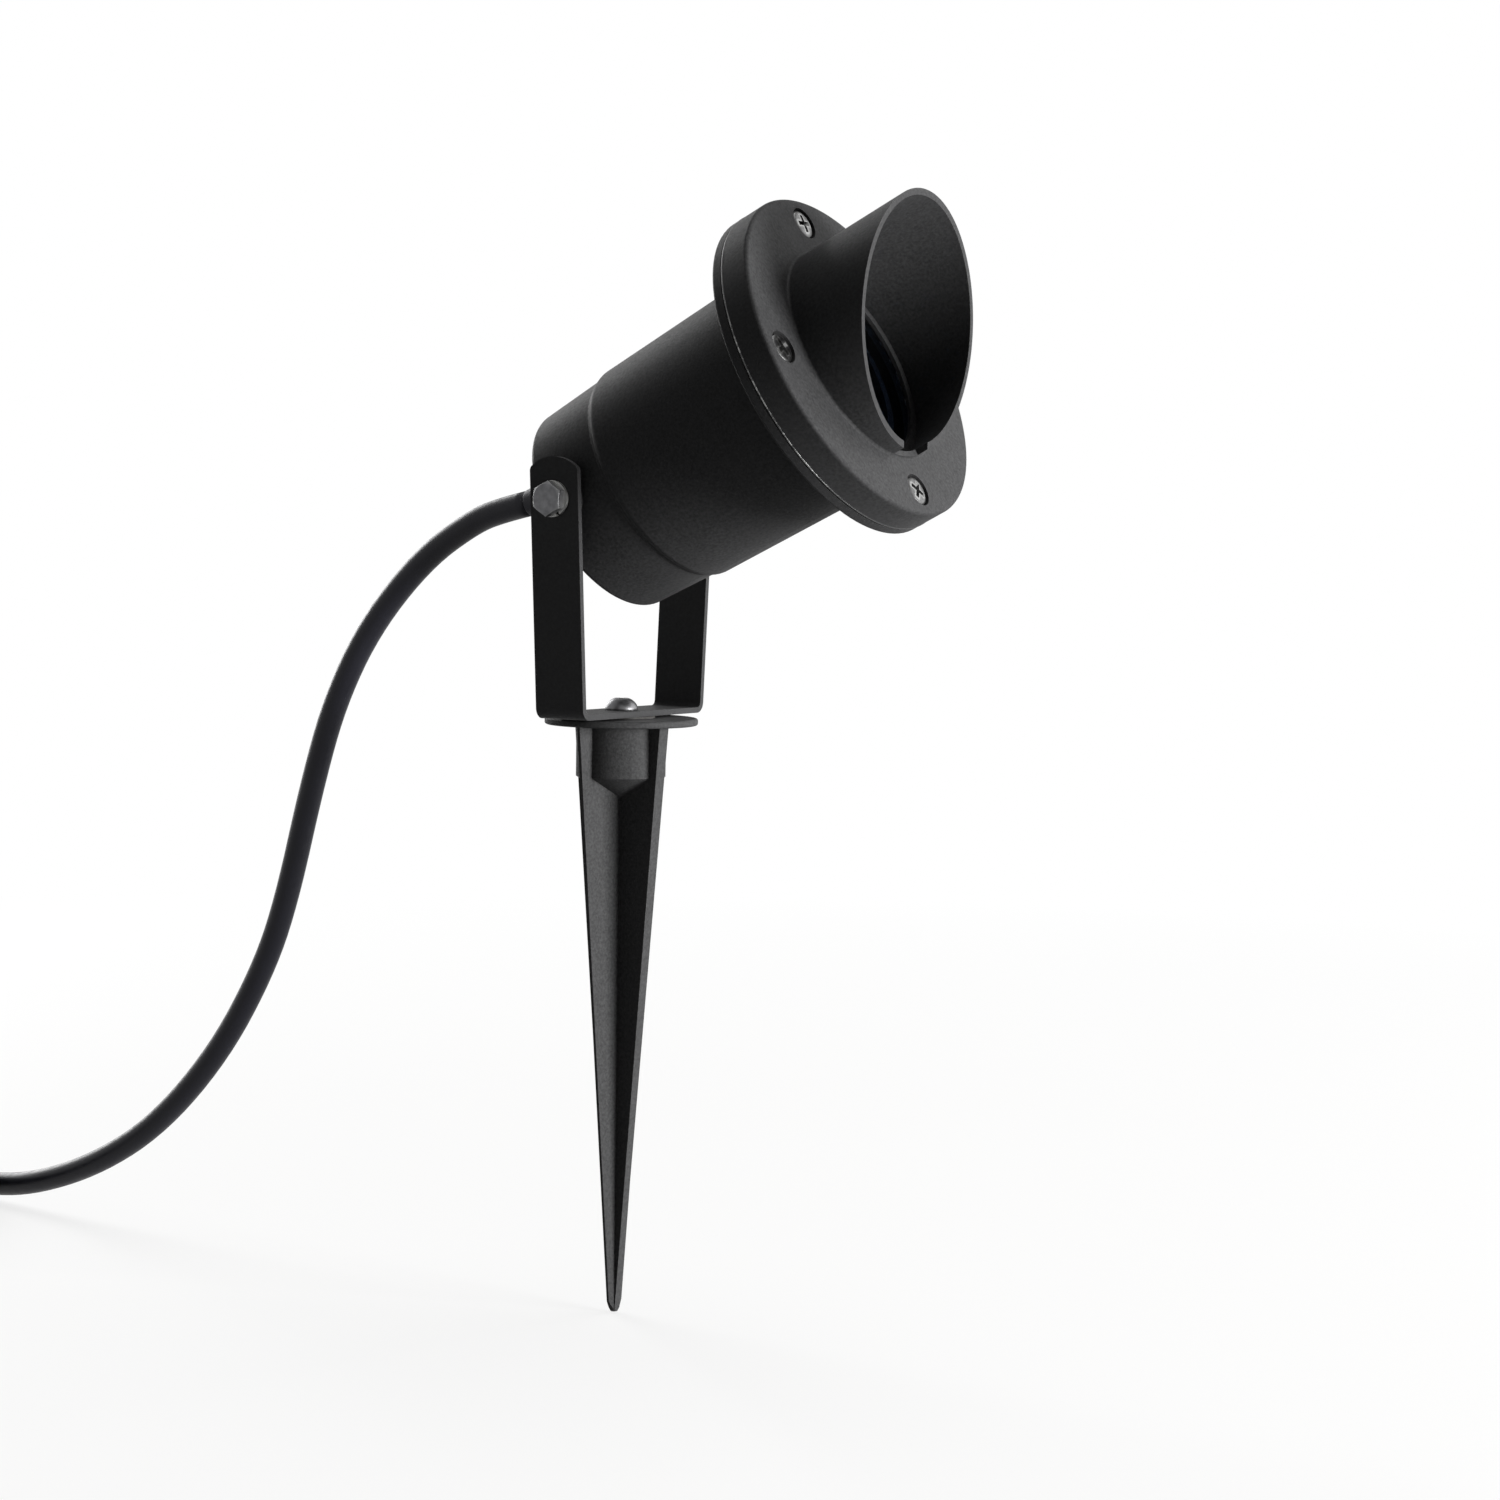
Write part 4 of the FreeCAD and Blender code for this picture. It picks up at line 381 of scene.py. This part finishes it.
def steel(name, colour, low, high, edge=ZINC_RIM_HIGHLIGHT):
    """Plated metal with darker spots and brighter edges, which are a painted rim highlight."""
    look = Look(name, colour, roughness=low, metallic=1.0)
    look.rough(look.noise(scale=900.0, detail=3.0, roughness=0.6), low, high)
    look.tint(look.noise(scale=500.0), shaded(colour, 0.62), amount=0.8)
    look.bump(look.noise(scale=2600.0), strength=0.15, depth=0.02 * MM)
    # brighter edges: a painted rim highlight
    look.edges(edge, amount=0.9, high=0.62)
    return look.material


def plastic(name, colour, low=0.38, high=0.5):
    """Moulded plastic with a fine grain."""
    look = Look(name, colour, roughness=low)
    look.rough(look.noise(scale=700.0), low, high)
    look.tint(look.noise(scale=90.0), shaded(colour, 0.8), amount=0.5)
    look.bump(look.noise(scale=1800.0), strength=0.15, depth=0.03 * MM)
    return look.material


def ridged_tie():
    """A nylon band with fine teeth across it."""
    look = Look("tie_nylon", NYLON, roughness=0.36)
    look.rough(look.noise(scale=700.0), low=0.3, high=0.42)
    look.tint(look.noise(scale=90.0), NYLON_PALE, amount=0.5)
    teeth = look.add("ShaderNodeTexWave", wave_type="BANDS", bands_direction="Y")
    teeth.inputs["Scale"].default_value = 230.0
    look.link(look.place(), teeth.inputs["Vector"])
    look.bump(teeth.outputs["Fac"], strength=0.5, depth=0.15 * MM)
    return look.material


def worn_edge():
    """An edge where the coat is chipped off the aluminium along one stretch."""
    look = Look("worn_edge", COAT, roughness=0.45)
    chips = look.noise(scale=520.0, detail=4.0, roughness=0.7)
    chipped = look.spread(chips, 0.0, 1.0, source_low=0.46, source_high=0.55)
    away = look.add("ShaderNodeVectorMath", operation="DISTANCE")
    look.link(look.place(), away.inputs[0])
    away.inputs[1].default_value = WORN_PLACE
    near = look.spread(away.outputs["Value"], 1.0, 0.0, 0.5 * WORN_REACH, WORN_REACH)
    bare = look.add("ShaderNodeMath", operation="MULTIPLY")
    look.link(chipped, bare.inputs[0])
    look.link(near, bare.inputs[1])
    look.mix_in(bare.outputs[0], BARE_METAL)
    look.link(bare.outputs[0], look.shader.inputs["Metallic"])
    look.bump(look.noise(scale=900.0), strength=0.4, depth=0.05 * MM)
    return look.material


def front_glass():
    """Clear, slightly bluish glass."""
    look = Look("front_glass", GLASS_TINT, roughness=0.02)
    look.set("Transmission Weight", 1.0)
    look.set("IOR", 1.5)
    look.rough(look.noise(scale=300.0), low=0.015, high=0.05)
    return look.material


def lamp_front():
    """The lamp's dark, faceted front behind its clear cover."""
    look = Look("lamp_front", REFLECTOR, roughness=0.2, metallic=0.9)
    look.rough(look.noise(scale=400.0), low=0.18, high=0.3)
    cells = look.add("ShaderNodeTexVoronoi", feature="F1")
    cells.inputs["Scale"].default_value = 300.0
    look.link(look.place(), cells.inputs["Vector"])
    look.bump(cells.outputs["Distance"], strength=0.35, depth=0.3 * MM)
    return look.material


def dress(frame):
    """Gives every CAD node that stays in the scene its material."""
    coat = powder_coat("powder_coat")
    zinc = steel("plain_zinc", ZINC, low=0.28, high=0.42)
    brass = steel("plated_brass", BRASS_PLATED, low=0.18, high=0.32, edge=BRASS_PLATED)
    looks = {
        "spike": cast_coat(),
        "housing": coat,
        "front_bezel": coat,
        # worn sets the paler edges: wear together with a painted edge highlight
        "u_bracket": powder_coat("bracket_coat", depth=0.03 * MM, strength=0.22, worn=0.5),
        "pad_washers": zinc,
        "holder_bar": zinc,
        "holder_screws": zinc,
        "earth_screw": zinc,
        "spring_washers": steel("washer_zinc", PALE_ZINC, low=0.36, high=0.5, edge=PALE_ZINC_RIM_HIGHLIGHT),
        "lamp_pins": brass,
        "terminal_screws": brass,
        "earth_tag": brass,
        "plug_pins": brass,
        "plug_clips": brass,
        "lens_glass": front_glass(),
        "lamp_cover": lamp_front(),
        "lamp_body": plastic("lamp_white", WHITE_PLASTIC),
        "lamp_holder": plastic("holder_ceramic", CERAMIC, low=0.6, high=0.75),
        "terminal_block": plastic("block_nylon", WHITE_PLASTIC),
        "holder_leads": plastic("lead_silicone", SILICONE),
        "lens_gasket": rubber("gasket_silicone", SILICONE, low=0.5, high=0.6),
        "flange_seal": rubber("flat_seal", SEAL, low=0.5, high=0.7),
        "friction_washer": plastic("fibre", FIBRE, low=0.6, high=0.8),
        "live_core": plastic("core_brown", BROWN),
        "neutral_core": plastic("core_blue", BLUE),
        "earth_core": plastic("core_earth", GREEN_YELLOW),
        "gland_seal": rubber("seal_rubber"),
        "gland_body": plastic("gland_nylon", NYLON, low=0.42, high=0.55),
        "gland_locknut": plastic("locknut_nylon", NYLON, low=0.42, high=0.55),
        "cable_inlet": rubber("inlet_rubber"),
        "coil_tie": ridged_tie(),
        "plug_body": moulded_rubber("plug_rubber"),
    }
    for name, look in looks.items():
        node = frame["nodes"][name]
        node.data.materials.clear()
        node.data.materials.append(look)


# ---- the lead ----


def coil_point(turned, outside):
    """A point of the coil after so many turns, set out so that the curve passes through its true radius."""
    innermost = COIL_TURNS_IN + COIL_CLIMB / 2
    reach = COIL_RADIUS - COIL_PITCH * (min(turned, innermost) - max(turned - innermost, 0.0))
    reach *= outside
    angle = COIL_START + FULL_TURN * turned
    climb = min(max((turned - COIL_TURNS_IN) / COIL_CLIMB, 0.0), 1.0)
    height = COIL_FLOOR + COIL_PITCH * climb * climb * (3 - 2 * climb)
    x = COIL_CENTRE[0] + reach * math.cos(angle)
    y = COIL_CENTRE[1] + reach * math.sin(angle)
    return (x, y, height)


def route_points():
    """The lead's control points from the bend relief to the plug."""
    outside = 1 / math.cos(math.pi / COIL_STEPS)
    count = round(COIL_TURNS * COIL_STEPS)
    coil = [coil_point((i + 0.5) / COIL_STEPS, outside) for i in range(count)]
    rest = [Vector(p) * MM for p in LEAD_ROUTE + coil + TAIL_ROUTE]
    return [LEAD_EXIT] + rest


def spline_path(points):
    """Points read from the smooth curve that has the given control points."""
    curve = bpy.data.curves.new("lead_route", "CURVE")
    curve.dimensions = "3D"
    curve.resolution_u = 6
    spline = curve.splines.new("NURBS")
    spline.points.add(len(points) - 1)
    for control, point in zip(spline.points, points):
        control.co = (*point, 1.0)
    spline.order_u = 3
    spline.use_endpoint_u = True
    carrier = bpy.data.objects.new("lead_route", curve)
    bpy.context.scene.collection.objects.link(carrier)
    bpy.context.view_layer.update()
    mesh = bpy.data.meshes.new_from_object(carrier)
    path = [v.co.copy() for v in mesh.vertices]
    bpy.data.objects.remove(carrier)
    bpy.data.curves.remove(curve)
    bpy.data.meshes.remove(mesh)
    return path


def sweep(name, path, radius_at, sides):
    """A round tube along a path, with closed ends."""
    shape = bmesh.new()
    rings = []
    side = None
    for i, point in enumerate(path):
        ahead = path[min(i + 1, len(path) - 1)] - path[max(i - 1, 0)]
        ahead.normalize()
        start = side if side else ahead.orthogonal()
        side = (start - ahead * start.dot(ahead)).normalized()
        across = ahead.cross(side)
        radius = radius_at(i / (len(path) - 1))
        ring = []
        for k in range(sides):
            turn = FULL_TURN * k / sides
            offset = side * math.cos(turn) + across * math.sin(turn)
            ring.append(shape.verts.new(point + offset * radius))
        rings.append(ring)
    for before, after in zip(rings, rings[1:]):
        for k in range(sides):
            nxt = (k + 1) % sides
            shape.faces.new((before[k], before[nxt], after[nxt], after[k]))
    shape.faces.new(list(reversed(rings[0])))
    shape.faces.new(rings[-1])
    return finish_mesh(name, shape)


def finish_mesh(name, shape, smooth=True):
    """Turns a bmesh into an object of the scene."""
    bmesh.ops.recalc_face_normals(shape, faces=shape.faces)
    mesh = bpy.data.meshes.new(name)
    shape.to_mesh(mesh)
    shape.free()
    for face in mesh.polygons:
        face.use_smooth = smooth
    obj = bpy.data.objects.new(name, mesh)
    bpy.context.scene.collection.objects.link(obj)
    return obj


def make_lead():
    """The mains lead in one piece, with the plug's detail at its far end."""
    path = spline_path(route_points())
    lead = sweep("mains_lead", path, lambda share: CABLE_RADIUS, CORD_SIDES)
    lead.data.materials.append(rubber("lead_rubber"))
    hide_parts("cable_neck", "cable_lead", "cable_coil", "cable_tail")
    plug_detail = make_plug_detail()
    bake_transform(lead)


# ---- turned and cut pieces ----


def add_turned(shape, profile, place, sides):
    """Adds a body turned about local +X from (along, radius) points in millimetres."""
    rings = []
    for along, radius in profile:
        turns = [0.0] if radius == 0 else [FULL_TURN * k / sides for k in range(sides)]
        ring = []
        for turn in turns:
            point = Vector((along, radius * math.cos(turn), radius * math.sin(turn))) * MM
            ring.append(shape.verts.new(place @ point))
        rings.append(ring)
    for before, after in zip(rings, rings[1:]):
        for k in range(sides):
            nxt = (k + 1) % sides
            corners = [
                before[k % len(before)],
                before[nxt % len(before)],
                after[nxt % len(after)],
                after[k % len(after)],
            ]
            shape.faces.new(list(dict.fromkeys(corners)))


def turned_piece(name, profile, places, sides=SCREW_SIDES):
    """One mesh of the same turned body at several places."""
    shape = bmesh.new()
    for place in places:
        add_turned(shape, profile, place, sides)
    return finish_mesh(name, shape)


def combine(piece, tool, operation):
    """Joins, cuts or intersects two meshes and removes the tool."""
    step = piece.modifiers.new("combine", "BOOLEAN")
    step.operation = operation
    step.solver = "EXACT"
    step.object = tool
    bpy.context.view_layer.update()
    graph = bpy.context.evaluated_depsgraph_get()
    mesh = bpy.data.meshes.new_from_object(piece.evaluated_get(graph))
    piece.modifiers.clear()
    piece.data = mesh
    bpy.data.objects.remove(tool)


def crisp(piece, width):
    """Smooth faces with narrow rounded edges between them, as wide as given in millimetres."""
    for face in piece.data.polygons:
        face.use_smooth = True
    piece.data.set_sharp_from_angle(angle=SHARP_ANGLE)
    bevel = piece.modifiers.new("edge_round", "BEVEL")
    bevel.width = width * MM
    bevel.segments = 2
    bevel.limit_method = "ANGLE"
    bevel.angle_limit = SHARP_ANGLE
    bevel.harden_normals = True


def cross_tools(place, top, long_side, wide, deep):
    """Two tapered wedges, in millimetres, that together cut a cross recess down from the head's top."""
    tools = []
    for flip in (False, True):
        shape = bmesh.new()
        corners = []
        for along, share in ((top + RECESS_ABOVE, RECESS_MOUTH), (top - deep, RECESS_FLOOR)):
            narrow = 1 - RECESS_TAPER + RECESS_TAPER * share
            for y, z in ((-1, -1), (1, -1), (1, 1), (-1, 1)):
                across = y * long_side / 2 * share
                up = z * wide / 2 * narrow
                if flip:
                    across, up = up, across
                corners.append(shape.verts.new(place @ (Vector((along, across, up)) * MM)))
        for face in ((0, 1, 2, 3), (4, 5, 6, 7), (0, 1, 5, 4), (1, 2, 6, 5), (2, 3, 7, 6), (3, 0, 4, 7)):
            shape.faces.new([corners[i] for i in face])
        tools.append(finish_mesh("cross_tool", shape, smooth=False))
    return tools


def make_bezel_screws():
    """Four pan heads with tapered cross recesses."""
    places = []
    for turn, (y, z) in BEZEL_SCREWS:
        offset = Vector((BEZEL_SCREW_SEAT, y * BEZEL_SCREW_CIRCLE, z * BEZEL_SCREW_CIRCLE)) * MM
        places.append(LAMP @ Matrix.Translation(offset) @ Matrix.Rotation(turn, 4, "X"))
    screws = turned_piece("bezel_screw_set", BEZEL_SCREW_PROFILE, places)
    for place in places:
        for tool in cross_tools(place, **BEZEL_RECESS):
            combine(screws, tool, "DIFFERENCE")
    crisp(screws, SCREW_EDGE_ROUND)
    screws.data.materials.append(steel("bezel_screw_zinc", ZINC, low=0.30, high=0.46))
    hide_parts("bezel_screws")
    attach(screws, "head")


def make_base_screw():
    """The pan head that holds the bracket down."""
    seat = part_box("base_screw")[1].z - BASE_HEAD_HEIGHT * MM
    place = Matrix.Translation((0, 0, seat)) @ Matrix.Rotation(math.radians(-90.0), 4, "Y")
    place = place @ Matrix.Rotation(BASE_SCREW_TURN, 4, "X")
    screw = turned_piece("bracket_screw", BASE_SCREW_PROFILE, [place])
    for tool in cross_tools(place, **BASE_RECESS):
        combine(screw, tool, "DIFFERENCE")
    crisp(screw, SCREW_EDGE_ROUND)
    screw.data.materials.append(steel("bracket_screw_zinc", PALE_ZINC, low=0.34, high=0.5))
    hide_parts("base_screw")
    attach(screw, "spike_base")


def make_pivot_bolts():
    """Hexagon heads with chamfered corners on plain shanks."""
    places = []
    beam = (LAMP.to_3x3() @ Vector((1, 0, 0))).normalized()
    for side in (-1.0, 1.0):
        out = Vector((0, side, 0))
        turn = Matrix((out, beam, out.cross(beam))).transposed().to_4x4()
        places.append(Matrix.Translation(PIVOT + out * HEX_SEAT * MM) @ turn)
    prism = [(0.0, 0.0), (0.0, HEX_CORNER), (HEX_HEIGHT, HEX_CORNER), (HEX_HEIGHT, 0.0)]
    heads = turned_piece("pivot_bolt_set", prism, places, HEX_SIDES)
    wide = HEX_CORNER + CUT_MARGIN
    shoulder = HEX_HEIGHT - (wide - HEX_FACE) * HEX_CHAMFER
    dish = HEX_HEIGHT - HEX_DISH
    chamfer = [(CUT_START, 0.0), (CUT_START, wide), (shoulder, wide), (HEX_HEIGHT, HEX_FACE)]
    chamfer += [(dish, HEX_FACE - HEX_DISH_RIM), (dish, 0.0)]
    combine(heads, turned_piece("chamfer_tool", chamfer, places), "INTERSECT")
    shank = [(-BOLT_LENGTH, 0.0), (-BOLT_LENGTH, BOLT_RADIUS - BOLT_CHAMFER)]
    shank += [(BOLT_CHAMFER - BOLT_LENGTH, BOLT_RADIUS), (CUT_MARGIN, BOLT_RADIUS), (CUT_MARGIN, 0.0)]
    combine(heads, turned_piece("shank_tool", shank, places), "UNION")
    crisp(heads, HEX_EDGE_ROUND)
    heads.data.materials.append(steel("bolt_zinc", PALE_ZINC, low=0.38, high=0.55, edge=PALE_ZINC_RIM_HIGHLIGHT))
    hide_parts("pivot_bolts")
    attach(heads, "head")


def closed_ring(name, profile, place, sides):
    """A ring with the given closed section, turned about the place's +X."""
    shape = bmesh.new()
    add_turned(shape, profile + profile[:1], place, sides)
    bmesh.ops.remove_doubles(shape, verts=shape.verts, dist=SAME_POINT * MM)
    return finish_mesh(name, shape)


def plug_place():
    """The plug's frame: its origin where the bend relief begins, +X towards the pins."""
    turn = Matrix.Rotation(PLUG_HEADING, 4, "Z") @ Matrix.Rotation(-PLUG_TILT, 4, "Y")
    return Matrix.Translation(PLUG_START) @ turn


def ringed(start, end, ribs, ribbed, groove):
    """The radius along a tapered sleeve that has grooves pressed into a part of its length."""
    first, last = ribbed

    def radius_at(share):
        sleeve = start + (end - start) * share
        if first <= share < last:
            wave = 0.5 - 0.5 * math.cos(FULL_TURN * ribs * (share - first) / (last - first))
            sleeve -= groove * math.sqrt(wave)
        return sleeve * MM

    return radius_at


def make_plug_detail():
    """Finger rings round the plug's waist, and a ringed bend relief in place of its plain cone."""
    place = plug_place()
    grip = [(along + step, radius + rise) for along, radius in PLUG_GRIP for step, rise in PLUG_GRIP_RING]
    inside = PLUG_GRIP[0][1] - PLUG_GRIP_DEPTH
    grip += [(PLUG_GRIP[-1][0], inside), (PLUG_GRIP[0][0], inside)]
    rings = closed_ring("plug_grip", grip, place, GRIP_SIDES)
    look = moulded_rubber("plug_grip_rubber")
    rings.data.materials.append(look)
    along = [PLUG_BOOT_LENGTH * i / PLUG_BOOT_STEPS for i in range(PLUG_BOOT_STEPS + 1)]
    path = [place @ (Vector((x, 0, 0)) * MM) for x in along]
    radius_at = ringed(PLUG_BOOT_TIP, PLUG_BOOT_ROOT, PLUG_BOOT_RIBS, PLUG_BOOT_RIBBED, PLUG_BOOT_GROOVE)
    boot = sweep("plug_bend_relief", path, radius_at, SLEEVE_SIDES)
    boot.data.materials.append(look)
    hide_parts("plug_boot")
    for piece in (rings, boot):
        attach(piece, "bracket")
    return [rings, boot]


def make_step_and_seam(coat):
    """The coat's soft run-in at the barrel's step, and the worn rear edge of the bezel."""
    step = closed_ring("barrel_step", STEP_SECTION, LAMP, STEP_SIDES)
    step.data.materials.append(coat)
    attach(step, "head")
    seam = closed_ring("bezel_worn_edge", SEAM_SECTION, LAMP, SEAM_SIDES)
    seam.data.materials.append(worn_edge())
    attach(seam, "head")


def make_bend_relief():
    """A tapered rubber sleeve with rings pressed into it, along the CAD sleeve's arc."""
    radius = BOOT_LENGTH / BOOT_TURN
    along, up = BOOT_START
    path = []
    for i in range(BOOT_STEPS + 1):
        turn = BOOT_TURN * i / BOOT_STEPS
        place = Vector((along - radius * math.sin(turn), 0, up + radius * (1 - math.cos(turn)))) * MM
        path.append(LAMP @ place)
    radius_at = ringed(BOOT_ROOT, BOOT_TIP, BOOT_RIBS, BOOT_RIBBED, BOOT_GROOVE)
    relief = sweep("bend_relief", path, radius_at, SLEEVE_SIDES)
    relief.data.materials.append(moulded_rubber("relief_rubber"))
    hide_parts("gland_boot")
    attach(relief, "head")


# ---- stage ----


def make_camera():
    """The camera, fitted to the photograph."""
    data = bpy.data.cameras.new("camera")
    data.lens = CAMERA_LENS
    data.sensor_width = CAMERA_SENSOR
    data.sensor_fit = "HORIZONTAL"
    camera = bpy.data.objects.new("camera", data)
    forward = CAMERA_FORWARD.normalized()
    right = forward.cross(CAMERA_UP).normalized()
    up = right.cross(forward)
    turn = Matrix((right, up, -forward)).transposed().to_4x4()
    camera.matrix_world = Matrix.Translation(CAMERA_PLACE) @ turn
    bpy.context.scene.collection.objects.link(camera)
    bpy.context.scene.camera = camera


def soft_light(name, place, aim, width, height, power):
    """A rectangular area light turned towards a point."""
    data = bpy.data.lights.new(name, "AREA")
    data.shape = "RECTANGLE"
    data.size = width
    data.size_y = height
    data.energy = power
    light = bpy.data.objects.new(name, data)
    light.location = place
    light.rotation_euler = (Vector(aim) - Vector(place)).to_track_quat("-Z", "Y").to_euler()
    bpy.context.scene.collection.objects.link(light)


def seen_share(tree):
    """One for camera, glossy and transmission rays, and nothing for the light that falls on things."""
    rays = tree.nodes.new("ShaderNodeLightPath")
    total = rays.outputs["Is Camera Ray"]
    for kind in ("Is Glossy Ray", "Is Transmission Ray"):
        either = tree.nodes.new("ShaderNodeMath")
        either.operation = "MAXIMUM"
        tree.links.new(total, either.inputs[0])
        tree.links.new(rays.outputs[kind], either.inputs[1])
        total = either.outputs[0]
    return total


def make_world():
    """A white backdrop that adds little light of its own."""
    world = bpy.data.worlds.new("studio")
    bpy.context.scene.world = world
    world.use_nodes = True
    tree = world.node_tree
    tree.nodes.clear()
    output = tree.nodes.new("ShaderNodeOutputWorld")
    mix = tree.nodes.new("ShaderNodeMixShader")
    shades = []
    for strength in (FILL_LIGHT, 1.0):
        shade = tree.nodes.new("ShaderNodeBackground")
        shade.inputs["Color"].default_value = WHITE
        shade.inputs["Strength"].default_value = strength
        shades.append(shade)
    tree.links.new(seen_share(tree), mix.inputs[0])
    tree.links.new(shades[0].outputs[0], mix.inputs[1])
    tree.links.new(shades[1].outputs[0], mix.inputs[2])
    tree.links.new(mix.outputs[0], output.inputs["Surface"])


def make_floor():
    """A white floor that takes the shadow near the object and runs into the white backdrop farther off."""
    shape = bmesh.new()
    bmesh.ops.create_grid(shape, x_segments=1, y_segments=1, size=FLOOR_HALF)
    floor = finish_mesh("floor", shape, smooth=False)
    floor.location = (0, 0, -FLOOR_DROP)
    look = Look("floor_white", FLOOR_COLOUR, roughness=0.7)
    output = look.tree.nodes["Material Output"]
    away = look.add("ShaderNodeVectorMath", operation="LENGTH")
    look.link(look.place(), away.inputs[0])
    white_share = look.spread(away.outputs["Value"], FLOOR_WHITE, 1.0, FLOOR_NEAR, FLOOR_FAR)
    share = look.add("ShaderNodeMath", operation="MULTIPLY")
    look.link(seen_share(look.tree), share.inputs[0])
    look.link(white_share, share.inputs[1])
    white = look.add("ShaderNodeEmission")
    white.inputs["Color"].default_value = WHITE
    mix = look.add("ShaderNodeMixShader")
    look.link(share.outputs[0], mix.inputs[0])
    look.link(look.shader.outputs[0], mix.inputs[1])
    seen = look.add("ShaderNodeMix", data_type="RGBA")
    seen.inputs[MIX_FIRST].default_value = FLOOR_BOUNCE
    seen.inputs[MIX_SECOND].default_value = FLOOR_COLOUR
    look.link(look.add("ShaderNodeLightPath").outputs["Is Camera Ray"], seen.inputs["Factor"])
    look.link(seen.outputs[MIX_RESULT], look.shader.inputs["Base Color"])
    look.link(white.outputs[0], mix.inputs[2])
    look.link(mix.outputs[0], output.inputs["Surface"])
    floor.data.materials.append(look.material)


def make_stage():
    """Backdrop, floor and lights."""
    make_world()
    make_floor()
    for name, place, width, height, power in LIGHTS:
        soft_light(name, place, LIT_POINT, width, height, power)
    bpy.context.scene.view_settings.view_transform = "Standard"


def main():
    """Builds the scene round the frame."""
    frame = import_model()
    make_camera()
    make_lead()
    dress(frame)
    make_bezel_screws()
    make_base_screw()
    make_pivot_bolts()
    make_bend_relief()
    make_step_and_seam(frame["nodes"]["housing"].data.materials[0])
    make_stage()
    bpy.context.view_layer.update()


main()
